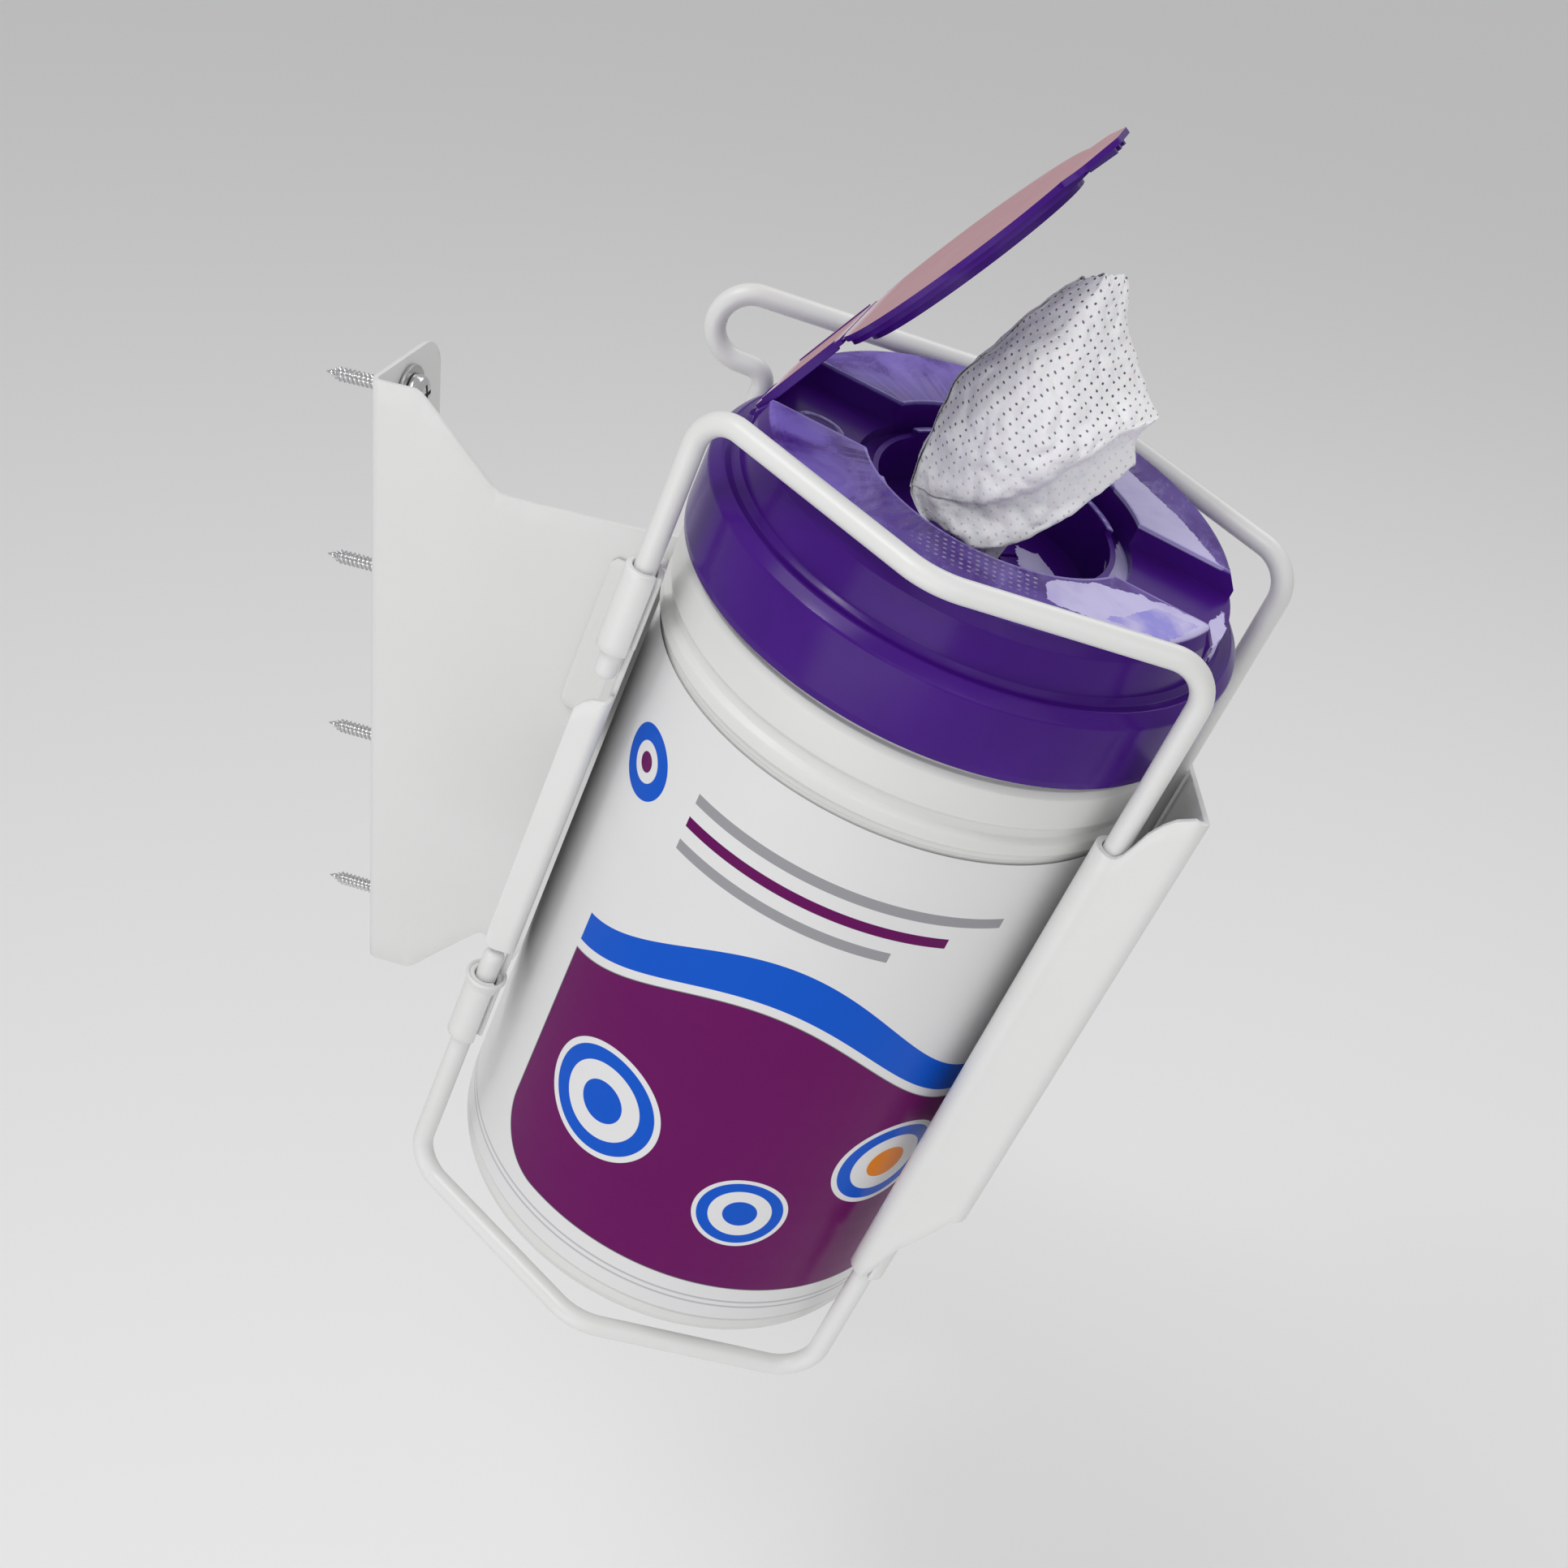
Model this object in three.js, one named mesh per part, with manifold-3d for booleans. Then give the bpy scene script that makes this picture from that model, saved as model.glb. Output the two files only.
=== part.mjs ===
// Wall-mounted wipe dispenser: a folded sheet-steel bracket with three bent wires that holds a tub of wipes,
// leaning away from the wall, with a lid whose flap stands open on two living hinges.
// Millimetres. Part's own frame: the wall is the plane X = 0 and +X leads away from it, +Z is up, and +Y runs
// along the wall. The origin is the middle of the wall flange's back face.
// The tub and all that follows its lean are drawn in the tub's frame: P square to the tub's axis and away from
// the wall, Y as in the part, A up the tub's axis, with A = 0 under the tub's foot.
import * as THREE from "three";
import Module from "manifold-3d";
import { mergeVertices } from "three/addons/utils/BufferGeometryUtils.js";

const wasm = await Module();
wasm.setup();

// ---------- driving dimensions ----------
const LEAN = 15.4; // degrees, the tub's axis away from the vertical
const AXIS_X = 138, AXIS_Y = -93.5, AXIS_Z = -80; // the tub's foot centre in the part's frame
const GAP = 0.35; // between pieces that touch
const SHEET = 1.6; // steel sheet, coated
const WIRE_R = 2.8; // wire, coated
const SLEEVE_R = 4.7; // outside of a rolled sleeve
const SLEEVE_IN = 3.15; // inside of a rolled sleeve
// bracket
const BACK_Y = 72; // back plate, from the tub's axis
const FRONT_Y = -46.2; // front flange
const SIDE_P = 74.6; // right wall
const FLANGE_END = 115; // far edge of the wall flange, from the tub's axis
const SCREW_Z = [92, 31, -31, -92]; // up the flange, from its middle
const WIRE_Y = -42.5; // plane of the two near wires' legs
const LEG_L = -62.9, LEG_R = 60.3; // the near wires' legs
const TUBE_A = [38, 188.5]; // right tube
const SLEEVE_TOP = [173.5, 197], SLEEVE_LOW = [42.5, 64.5];
const LIP_A = [75, 159];
// wires
const TOP_A = 240, LOW_A = -8.4, NEAR_APEX = -66.5;
const REAR_A = 233, REAR_LOW_A = 215, REAR_Y = 38, REAR_APEX = 67.5;
const REAR_L = -68.6, REAR_R = 70.1, REAR_U = -76;
// tub
const TUB_R = 63.8, TUB_WALL = 1.4, TUB_TOP = 212.6;
const LABEL_R = 64.15, LABEL_T = 0.25, LABEL_A = [7, 176];
// lid
const SKIRT_R = 66.8, SKIRT_A = 201, LID_TOP = 235, LID_WALL = 1.6;
const CHANNEL_W = 15, CHANNEL_A = 229, POCKET_R = 34.8, POCKET_A = 226, RING_R = 30.6, RING_IN = 29.2, RING_A = 230.5, WELL_A = 216;
const MOUTH_R = 7.5;
// flap and link, both living hinges along Y
const HINGE1 = [-58.5, 230.3], LINK_LEN = 28.2, FLAP_LEN = 72.7;
const LINK_SHUT = 6, LINK_OPEN = 63.4, FLAP_OPEN = 60.8; // degrees above P
const STRIP_W = 14.3, FLAP_R = 33.4, FLAP_T = 1.4;

// ---------- helpers ----------
const rad = THREE.MathUtils.degToRad;
const tubFrame = new THREE.Matrix4().makeBasis(
  new THREE.Vector3(Math.cos(rad(LEAN)), 0, -Math.sin(rad(LEAN))),
  new THREE.Vector3(0, 1, 0),
  new THREE.Vector3(Math.sin(rad(LEAN)), 0, Math.cos(rad(LEAN))),
).setPosition(AXIS_X, AXIS_Y, AXIS_Z);

function solid(geometry) {
  const g = (geometry.index ? geometry.toNonIndexed() : geometry.clone());
  g.deleteAttribute("normal");
  g.deleteAttribute("uv");
  const m = mergeVertices(g, 1e-4);
  const s = new wasm.Manifold(new wasm.Mesh({
    numProp: 3,
    vertProperties: new Float32Array(m.attributes.position.array),
    triVerts: new Uint32Array(m.index.array),
  }));
  return s;
}
function geometryOf(s) {
  const m = s.getMesh(), v = new Float32Array(m.numVert * 3);
  for (let i = 0; i < m.numVert; i++) v.set(m.vertProperties.subarray(i * m.numProp, i * m.numProp + 3), i * 3);
  const g = new THREE.BufferGeometry();
  g.setAttribute("position", new THREE.BufferAttribute(v, 3));
  g.setIndex(new THREE.BufferAttribute(new Uint32Array(m.triVerts), 1));
  return g;
}
const union = (...s) => s.reduce((a, b) => a.add(b));
const cut = (a, ...s) => s.reduce((x, y) => x.subtract(y), a);
const box = (x0, x1, y0, y1, z0, z1) =>
  solid(new THREE.BoxGeometry(x1 - x0, y1 - y0, z1 - z0).translate((x0 + x1) / 2, (y0 + y1) / 2, (z0 + z1) / 2));

// A lathed solid about the A axis; the profile is [radius, a], from the axis to the axis or closed on itself.
function lathe(profile, seg = 64, closed = false) {
  const pts = profile.map(([r, a]) => new THREE.Vector2(r, a));
  if (closed) pts.push(pts[0].clone());
  const g = new THREE.LatheGeometry(pts, seg);
  g.rotateX(Math.PI / 2); // lathe's Y axis becomes Z
  let s;
  try { s = solid(g); } catch (e) { throw new Error("lathe " + JSON.stringify(profile.slice(0, 3)) + " " + e); }
  if (s.volume() < 0) {
    const q = g.toNonIndexed(), a = q.attributes.position.array;
    for (let i = 0; i < a.length; i += 9) for (let k = 0; k < 3; k++) { const t = a[i + k]; a[i + k] = a[i + 3 + k]; a[i + 3 + k] = t; }
    s = solid(q);
  }
  return s;
}
const cylinder = (r, a0, a1, seg = 48, p = 0, y = 0) =>
  lathe([[0, a0], [r, a0], [r, a1], [0, a1]], seg).translate([p, y, 0]);
const ring = (r0, r1, a0, a1, seg = 32, p = 0, y = 0) =>
  lathe([[r0, a0], [r1, a0], [r1, a1], [r0, a1]], seg, true).translate([p, y, 0]);

// A plate: a polygon of [u, v] given thickness along n. plane "PA" lies square to Y, "YA" square to P, "PY" square to A.
function plate(points, plane, from, to, holes = []) {
  const shape = new THREE.Shape(points.map(([u, v]) => new THREE.Vector2(u, v)));
  for (const h of holes) shape.holes.push(new THREE.Path(h.map(([u, v]) => new THREE.Vector2(u, v))));
  const g = new THREE.ExtrudeGeometry(shape, { depth: to - from, bevelEnabled: false, curveSegments: 8 });
  g.translate(0, 0, from);
  const m = new THREE.Matrix4();
  if (plane === "PA") m.makeBasis(new THREE.Vector3(1, 0, 0), new THREE.Vector3(0, 0, 1), new THREE.Vector3(0, 1, 0));
  else if (plane === "YA") m.makeBasis(new THREE.Vector3(0, 1, 0), new THREE.Vector3(0, 0, 1), new THREE.Vector3(1, 0, 0));
  else m.identity();
  g.applyMatrix4(m);
  if (m.determinant() < 0) {
    const q = g.index ? g.toNonIndexed() : g, a = q.attributes.position.array;
    for (let i = 0; i < a.length; i += 9) for (let k = 0; k < 3; k++) { const t = a[i + k]; a[i + k] = a[i + 3 + k]; a[i + 3 + k] = t; }
    return solid(q);
  }
  return solid(g);
}
const arc = (cx, cy, r, from, to, n = 6) =>
  Array.from({ length: n + 1 }, (_, i) => {
    const t = rad(from + ((to - from) * i) / n);
    return [cx + r * Math.cos(t), cy + r * Math.sin(t)];
  });

// Rounds the inner points of a path of corners: each is [p, y, a, bend radius].
function bent(corners, steps = 5) {
  const P = corners.map((c) => new THREE.Vector3(c[0], c[1], c[2])), out = [P[0]];
  for (let i = 1; i < P.length - 1; i++) {
    const u = P[i - 1].clone().sub(P[i]).normalize(), v = P[i + 1].clone().sub(P[i]).normalize();
    const half = u.angleTo(v) / 2, r = corners[i][3], d = r / Math.tan(half);
    const c = P[i].clone().add(u.clone().add(v).normalize().multiplyScalar(r / Math.sin(half)));
    const a = P[i].clone().addScaledVector(u, d).sub(c), b = P[i].clone().addScaledVector(v, d).sub(c), w = a.angleTo(b);
    for (let k = 0; k <= steps; k++) {
      const t = k / steps;
      out.push(c.clone().addScaledVector(a, Math.sin((1 - t) * w) / Math.sin(w)).addScaledVector(b, Math.sin(t * w) / Math.sin(w)));
    }
  }
  out.push(P[P.length - 1]);
  return out;
}
// A round rod along a path, with domed ends.
function rod(path, r, n = 12) {
  const rings = [], dirs = path.map((q, i) => {
    const a = path[Math.max(0, i - 1)], b = path[Math.min(path.length - 1, i + 1)];
    return b.clone().sub(a).normalize();
  });
  let side = new THREE.Vector3(0, 1, 0);
  if (Math.abs(side.dot(dirs[0])) > 0.9) side.set(1, 0, 0);
  const add = (c, d, radius) => {
    side = side.clone().addScaledVector(d, -side.dot(d)).normalize();
    const up = d.clone().cross(side), ringPts = [];
    for (let k = 0; k < n; k++) {
      const t = (2 * Math.PI * k) / n;
      ringPts.push(c.clone().addScaledVector(side, Math.cos(t) * radius).addScaledVector(up, Math.sin(t) * radius));
    }
    rings.push(ringPts);
  };
  const dome = [[0.95, 0.31], [0.7, 0.71]], last = path.length - 1;
  for (const [h, s] of dome) add(path[0].clone().addScaledVector(dirs[0], r * (1 - h) ), dirs[0], r * s);
  path.forEach((q, i) => add(i === 0 ? q.clone().addScaledVector(dirs[0], r) : i === last ? q.clone().addScaledVector(dirs[last], -r) : q, dirs[i], r));
  for (const [h, s] of [...dome].reverse()) add(path[last].clone().addScaledVector(dirs[last], -r * (1 - h)), dirs[last], r * s);
  const pos = [], idx = [];
  for (const q of rings) for (const v of q) pos.push(v.x, v.y, v.z);
  const a = pos.length / 3; pos.push(path[0].x, path[0].y, path[0].z);
  const b = pos.length / 3; pos.push(path[last].x, path[last].y, path[last].z);
  for (let i = 0; i < rings.length - 1; i++)
    for (let k = 0; k < n; k++) {
      const k2 = (k + 1) % n, o = i * n, q = (i + 1) * n;
      idx.push(o + k, o + k2, q + k2, o + k, q + k2, q + k);
    }
  for (let k = 0; k < n; k++) {
    const k2 = (k + 1) % n, q = (rings.length - 1) * n;
    idx.push(a, k2, k, b, q + k, q + k2);
  }
  const g = new THREE.BufferGeometry();
  g.setAttribute("position", new THREE.BufferAttribute(new Float32Array(pos), 3));
  g.setIndex(idx);
  const s = solid(g);
  if (s.volume() < 0) { g.setIndex(idx.reduce((o, v, i) => { o[i % 3 === 1 ? i + 1 : i % 3 === 2 ? i - 1 : i] = v; return o; }, [])); return solid(g); }
  return s;
}

const root = new THREE.Group();
const COLOURS = {
  coat: [0xe2e2e0, 0.42, 0.0], chrome: [0xb8b8b8, 0.2, 1.0], zinc: [0x9a9a98, 0.4, 0.9], tub: [0xeeeeea, 0.4, 0],
  label: [0xf2f1f2, 0.3, 0], lid: [0x4a1c92, 0.28, 0], flap: [0xa27c86, 0.35, 0], wipe: [0xf0eff4, 0.9, 0], roll: [0xe9e9ee, 0.9, 0],
};
function put(name, s, colour, inTub = true) {
  const g = geometryOf(s);
  if (inTub) g.applyMatrix4(tubFrame);
  const [c, roughness, metalness] = COLOURS[colour];
  const m = new THREE.Mesh(g.toNonIndexed(), new THREE.MeshStandardMaterial({ color: c, roughness, metalness, flatShading: true }));
  m.geometry.computeVertexNormals();
  m.name = name;
  root.add(m);
  return m;
}
// tub frame [p, a] of a point given in the wall's frame as [distance from the wall, height from the flange's middle]
const fromWall = (x, z) => {
  const dx = x - AXIS_X, dz = z - AXIS_Z, c = Math.cos(rad(LEAN)), s = Math.sin(rad(LEAN));
  return [dx * c - dz * s, dx * s + dz * c];
};
// the same for a solid: from the part's frame into the tub's frame
function intoTub(s) {
  const g = geometryOf(s);
  g.applyMatrix4(tubFrame.clone().invert());
  return solid(g);
}

// ---------- bracket plate: wall flange, back plate with its wing, right wall, front flange, rolled tube ----------
{
  const half = SHEET / 2, foldX = 0;
  // wall flange, in the part's frame: square to X
  const y0 = BACK_Y + AXIS_Y - half, y1 = FLANGE_END + AXIS_Y, top = 103, r = 10;
  const outline = [[y0, -top], ...arc(y1 - r, -top + r, r, -90, 0), ...arc(y1 - r, top - r, r, 0, 90), [y0, top]];
  const bolt = (z) => arc(0, z, 3, 0, 330, 11);
  const flange = plate(outline, "YA", foldX, foldX + SHEET, SCREW_Z.map(bolt));
  // back plate and wing: one flat sheet square to Y
  const wing = [
    fromWall(foldX, 103), fromWall(14.5, 103), fromWall(17.5, 101), fromWall(40.6, 77.6), fromWall(42.6, 76.6),
    fromWall(88, 76.6), [-58, 149], [SIDE_P + half, 153.5],
    [SIDE_P + half, 32], [60, -1.6], [-74, -1.6], [-80, -30], [-86, -31],
    fromWall(45, -83.5), fromWall(40.5, -80), fromWall(18.5, -100.5), fromWall(14.5, -103), fromWall(foldX, -103),
  ];
  // three.js shapes run counter-clockwise
  const back = plate(wing.slice().reverse(), "PA", BACK_Y - half, BACK_Y + half);
  const side = plate([[FRONT_Y - half, 71], [BACK_Y + half, 32], [BACK_Y + half, 153.5], [FRONT_Y - half, 207.5]], "YA", SIDE_P - half, SIDE_P + half);
  const front = plate([[LEG_R + 1, 50], [64.5, 53], [SIDE_P - 2, 68.5], [SIDE_P + half, 73], [SIDE_P + half, 206], [SIDE_P - 0.6, 207.5], [62, 195.5], [LEG_R + 2.4, 184], [LEG_R + 0.4, 180]],
    "PA", FRONT_Y - half, FRONT_Y + half);
  const tube = ring(SLEEVE_IN, SLEEVE_R, TUBE_A[0], TUBE_A[1], 24, LEG_R, WIRE_Y);
  const tubeCap = box(LEG_R - 8, LEG_R + 8, WIRE_Y - 8, WIRE_Y + 8, 0, 20);
  const slit = box(LEG_R + 0.2, LEG_R + 8, WIRE_Y - 0.4, WIRE_Y + 0.4, TUBE_A[0] - 1, TUBE_A[1] + 1);
  // ledge folded in under the tub's far edge
  const ledge = plate([[-34, BACK_Y + half], [-34, 50], [-30, 46], [30, 46], [34, 50], [34, BACK_Y + half]].reverse(), "PY", -1.6 - GAP, -GAP);
  const boreL = cylinder(SLEEVE_IN, TUBE_A[0] - 2, TUBE_A[1] + 2, 24, LEG_R, WIRE_Y);
  let s = union(intoTub(flange), back, side, cut(front, boreL), cut(tube, slit), ledge);
  put("bracket_plate", s, "coat");
}

// ---------- left guide: wall beside the tub, two rolled sleeves and an outward lip ----------
{
  const half = SHEET / 2;
  const f = [-59, WIRE_Y], b = [-84, BACK_Y - half - GAP], len = Math.hypot(b[0] - f[0], b[1] - f[1]);
  const ang = Math.atan2(b[1] - f[1], b[0] - f[0]);
  // drawn flat along Y from its front edge, then turned
  const wall = plate([[0, SLEEVE_LOW[0]], [8, SLEEVE_LOW[0]], [16, 55], [len - 14, 62], [len - 1.5, 70], [len - 1.5, 128], [len - 16, 138], [20, 172], [9, SLEEVE_TOP[1]], [0, SLEEVE_TOP[1]],
    [0, SLEEVE_TOP[0]], [3.2, SLEEVE_TOP[0] - 1.5], [3.2, LIP_A[1] + 1], [0, LIP_A[1]], [0, LIP_A[0]], [3.2, LIP_A[0] - 1], [3.2, SLEEVE_LOW[1] + 1.5], [0, SLEEVE_LOW[1]]], "YA", -half, half);
  const turned = wall.rotate([0, 0, THREE.MathUtils.radToDeg(ang) - 90]).translate([f[0], f[1], 0]);
  const foot = plate([[b[0] - 12, 72], [b[0] + half, 72], [b[0] + half, 126], [b[0] - 12, 126]], "PA", b[1] - SHEET, b[1]);
  const lip = plate([[-66.6, LIP_A[0] + 1.5], [-64.6, LIP_A[0] - 1.2], [-58.4, LIP_A[0]], [-58.2, LIP_A[1]], [-62.6, LIP_A[1] - 0.6], [-66.6, LIP_A[1] - 5]], "PA", WIRE_Y - SHEET, WIRE_Y);
  const up = ring(SLEEVE_IN, SLEEVE_R, SLEEVE_TOP[0], SLEEVE_TOP[1], 24, LEG_L, WIRE_Y);
  const low = ring(SLEEVE_IN, SLEEVE_R, SLEEVE_LOW[0], SLEEVE_LOW[1], 24, LEG_L, WIRE_Y);
  const seam = box(-0.35, 0.35, -7, -0.5, 0, 220).rotate([0, 0, 52]).translate([LEG_L, WIRE_Y, 0]);
  const bore = cylinder(SLEEVE_IN, 30, 210, 24, LEG_L, WIRE_Y);
  const s = union(cut(union(turned, up, low), bore, seam.intersect(box(-80, -50, -60, -30, 30, 205))), lip, foot);
  put("left_guide", s, "coat");
}

// ---------- wires ----------
{
  const mid = (LEG_L + LEG_R) / 2;
  put("top_wire", rod(bent([[LEG_L, WIRE_Y, 165], [LEG_L, WIRE_Y, TOP_A, 9], [mid, NEAR_APEX, TOP_A, 16], [LEG_R, WIRE_Y, TOP_A, 10], [LEG_R, WIRE_Y, 150]]), WIRE_R), "coat");
  put("bottom_wire", rod(bent([[LEG_L, WIRE_Y, 73], [LEG_L, WIRE_Y, LOW_A, 9], [mid, NEAR_APEX, LOW_A, 16], [LEG_R, WIRE_Y, LOW_A, 10], [LEG_R, WIRE_Y, 78]]), WIRE_R), "coat");
  const u = 8.9;
  const ux = REAR_U, uy = 37.6;
  put("rear_wire", rod(bent([
    [REAR_R, REAR_Y, 62], [REAR_R, REAR_Y, REAR_A, 10], [0, REAR_APEX, REAR_A, 16], [ux - u, uy - 3.6, REAR_A, u], [ux - u, uy - 3.6, REAR_LOW_A, u],
    [REAR_L, REAR_Y, REAR_LOW_A, 4.5], [REAR_L, REAR_Y, 62]]), WIRE_R), "coat");
}

// ---------- wall screws and washers, in the part's frame ----------
for (const [name, z] of SCREW_Z.map((v, i) => [i + 1, v])) {
  const turn = (s) => s.rotate([0, 90, 0]).translate([0, 0, z]); // the lathe's axis becomes X
  const washer = ring(2.9, 8, SHEET + GAP, SHEET + GAP + 1.2, 20);
  put("wall_washer_" + name, turn(washer), "zinc", false);
  const h = SHEET + 2 * GAP + 1.2;
  let screw = lathe([[0, -26], [0.8, -24], [2.2, -20], [2.2, h], [5.6, h], [5.6, h + 1.4], [4.9, h + 2.9], [3.4, h + 3.9], [0, h + 4.3]], 16);
  const slot = union(box(-3, 3, -0.55, 0.55, h + 2.2, h + 6), box(-0.55, 0.55, -3, 3, h + 2.2, h + 6));
  put("wall_screw_" + name, turn(cut(screw, slot)), "chrome", false);
}

// ---------- tub ----------
{
  const R = TUB_R, w = TUB_WALL;
  const profile = [
    [0, 1.6], [44, 1.6], [50, 0], [R - 3.5, 0], [R - 1, 1.1], [R, 3.4],
    [R, 178], [R + 1.6, 179.6], [R + 1.7, 182.6], [R + 0.4, 184.2], [R + 0.4, 186.4], [R + 1.7, 188], [R + 1.7, 196.5], [R + 0.6, 198], [R - 0.6, 198.4],
    [R - 0.6, TUB_TOP], [R - 0.6 - w, TUB_TOP], [R - 0.6 - w, 197], [R - w, 195], [R - w, 4.5], [R - 3.6, 2.6], [50, 1.6 + w], [0, 1.6 + w],
  ];
  put("tub_body", lathe(profile, 48), "tub");
  put("tub_label", ring(LABEL_R, LABEL_R + LABEL_T, LABEL_A[0], LABEL_A[1], 48), "label");
}

// ---------- lid ----------
{
  const outer = lathe([[0, SKIRT_A], [SKIRT_R, SKIRT_A], [SKIRT_R, 218.6], [SKIRT_R - 0.7, 220.4], [SKIRT_R - 2.2, 221], [61.4, 220.6], [60.7, 221.8], [59.5, 230.6], [58.4, 233.4], [56.2, LID_TOP], [0, LID_TOP]], 56);
  const inner = lathe([[0, SKIRT_A - 2], [SKIRT_R - LID_WALL, SKIRT_A - 2], [SKIRT_R - LID_WALL, 218], [SKIRT_R - LID_WALL - 2.5, 219.2], [59.4, 219.2], [57.8, 230.4], [55.4, LID_TOP - LID_WALL], [0, LID_TOP - LID_WALL]], 56);
  let s = cut(outer, inner);
  const w = LID_WALL;
  const channel = box(-64, 64, -CHANNEL_W - w, CHANNEL_W + w, CHANNEL_A - w, LID_TOP + 1).intersect(outer);
  const pocket = cylinder(POCKET_R + w, POCKET_A - w, LID_TOP, 48);
  const well = cylinder(RING_R + 0.2, WELL_A - w, POCKET_A, 48);
  s = union(s, channel, pocket, well);
  s = cut(s, box(-80, 80, -CHANNEL_W, CHANNEL_W, CHANNEL_A, LID_TOP + 9));
  s = cut(s, cut(cylinder(POCKET_R, POCKET_A, LID_TOP + 9, 48), ring(RING_IN, RING_R, POCKET_A - 1, RING_A, 48)));
  s = cut(s, cylinder(RING_IN, WELL_A, LID_TOP + 9, 48));
  // mouth: a round hole with four short slits
  const slits = [0, 90].map((d) => box(-13, 13, -0.7, 0.7, WELL_A - 5, WELL_A + 2).rotate([0, 0, d + 45]));
  s = cut(s, cylinder(MOUTH_R, WELL_A - 5, WELL_A + 2, 24), ...slits);
  put("lid_cap", s, "lid");
}

// ---------- flap and its link, drawn shut and turned open ----------
const shut2 = [HINGE1[0] + LINK_LEN * Math.cos(rad(LINK_SHUT)), HINGE1[1] + LINK_LEN * Math.sin(rad(LINK_SHUT))];
const open2 = [HINGE1[0] + LINK_LEN * Math.cos(rad(LINK_OPEN)), HINGE1[1] + LINK_LEN * Math.sin(rad(LINK_OPEN))];
{
  // link, along +P from its hinge at the origin
  const e = 0.65, t = FLAP_T / 2;
  const link = union(
    box(e, LINK_LEN - e, -STRIP_W, STRIP_W, -t, t),
    box(3, LINK_LEN - 2.5, -STRIP_W, -STRIP_W + 1.3, -t - 0.5, t + 1.1),
    box(3, LINK_LEN - 2.5, STRIP_W - 1.3, STRIP_W, -t - 0.5, t + 1.1),
  );
  put("flap_link", link.rotate([0, -LINK_OPEN, 0]).translate([HINGE1[0], 0, HINGE1[1]]), "flap");
}
{
  // flap, along +P from its hinge at the origin; its top face is at a = +0.7 and the disc's centre is over the lid's axis when shut
  const e = 0.65, t = FLAP_T / 2, cx = -shut2[0];
  const strip = plate([[e, -STRIP_W], [FLAP_LEN - 9, -STRIP_W], ...arc(FLAP_LEN - 9, -STRIP_W + 7, 7, -90, -30, 3), [FLAP_LEN, -4], [FLAP_LEN, 4], ...arc(FLAP_LEN - 9, STRIP_W - 7, 7, 30, 90, 3), [e, STRIP_W]], "PY", -t, t);
  const disc = cylinder(FLAP_R, -t, t, 48, cx, 0);
  const keep = box(1.5, 200, -60, 60, -20, 20); // the disc stops short of the hinge
  const rim = ring(31.5, 32.8, -t - 1.3, -t + 0.2, 40, cx, 0);
  const plug = ring(26.9, 28.3, -t - 3.2, -t + 0.2, 40, cx, 0);
  const clear = box(-20, 3, -60, 60, -20, t); // room for the link behind the hinge
  const ribs = [-4, 0, 4].map((y) => box(FLAP_LEN - 9, FLAP_LEN - 2, y - 0.6, y + 0.6, -t - 1.4, -t + 0.1));
  const flap = union(strip, disc.intersect(keep), cut(rim, clear), cut(plug, clear), ...ribs);
  put("flap", flap.rotate([0, -FLAP_OPEN, 0]).translate([open2[0], 0, open2[1]]), "flap");
}

// ---------- wipes ----------
put("wipe_roll", ring(14, 60, 5, 183, 48), "roll");
{
  // the standing tail: gathered through the mouth, then spreading; [p, y, a, half width, half depth, turn]
  const sections = [
    [0, 0, 150, 4.2, 4.2, 0], [0, 0, 206, 5, 5, 0], [0, -1, 217, 5.6, 5.2, 0], [-3, -8, 224, 10, 6, 10], [-6, -13, 229, 12, 6, 15], [-5, -14, 236, 14.5, 6.5, 12], [-2, -12, 244, 18, 7, 14],
    [1, -9, 252, 20.5, 7, 16], [2.5, -7, 260, 19.5, 6.5, 16], [3.5, -6, 267, 17.5, 6, 14], [2, -5, 274, 12.5, 5, 12], [1, -3.5, 281, 8.5, 3.5, 10], [0.5, -2, 287, 5, 2.2, 8], [1.2, -0.5, 290, 2.2, 1.3, 0],
  ];
  const n = 20, pos = [], idx = [];
  for (const [p, y, a, w, d, turn] of sections)
    for (let k = 0; k < n; k++) {
      const t = (2 * Math.PI * k) / n, u = w * Math.cos(t), v = d * Math.sin(t), c = Math.cos(rad(turn)), s = Math.sin(rad(turn));
      pos.push(p + u * c - v * s, y + u * s + v * c, a);
    }
  const m = sections.length, lowC = pos.length / 3;
  pos.push(sections[0][0], sections[0][1], sections[0][2]);
  const topC = pos.length / 3;
  pos.push(sections[m - 1][0], sections[m - 1][1], sections[m - 1][2] + 2);
  for (let i = 0; i < m - 1; i++)
    for (let k = 0; k < n; k++) {
      const k2 = (k + 1) % n;
      idx.push(i * n + k, i * n + k2, (i + 1) * n + k2, i * n + k, (i + 1) * n + k2, (i + 1) * n + k);
    }
  for (let k = 0; k < n; k++) {
    const k2 = (k + 1) % n;
    idx.push(lowC, k2, k, topC, (m - 1) * n + k, (m - 1) * n + k2);
  }
  const g = new THREE.BufferGeometry();
  g.setAttribute("position", new THREE.BufferAttribute(new Float32Array(pos), 3));
  g.setIndex(idx);
  put("wipe_tail", solid(g), "wipe");
}

export default root;
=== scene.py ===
# Wall-mounted wipe dispenser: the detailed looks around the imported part, in the same frame, in metres.
# Lengths below are in millimetres in the tub's frame (P square to the tub's axis, Y along the wall, A up the tub's
# axis) unless they say otherwise, and are turned into the part's frame when a mesh is made.
import math
import bpy
import bmesh
import numpy as np
from mathutils import Matrix, Vector, noise

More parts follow.
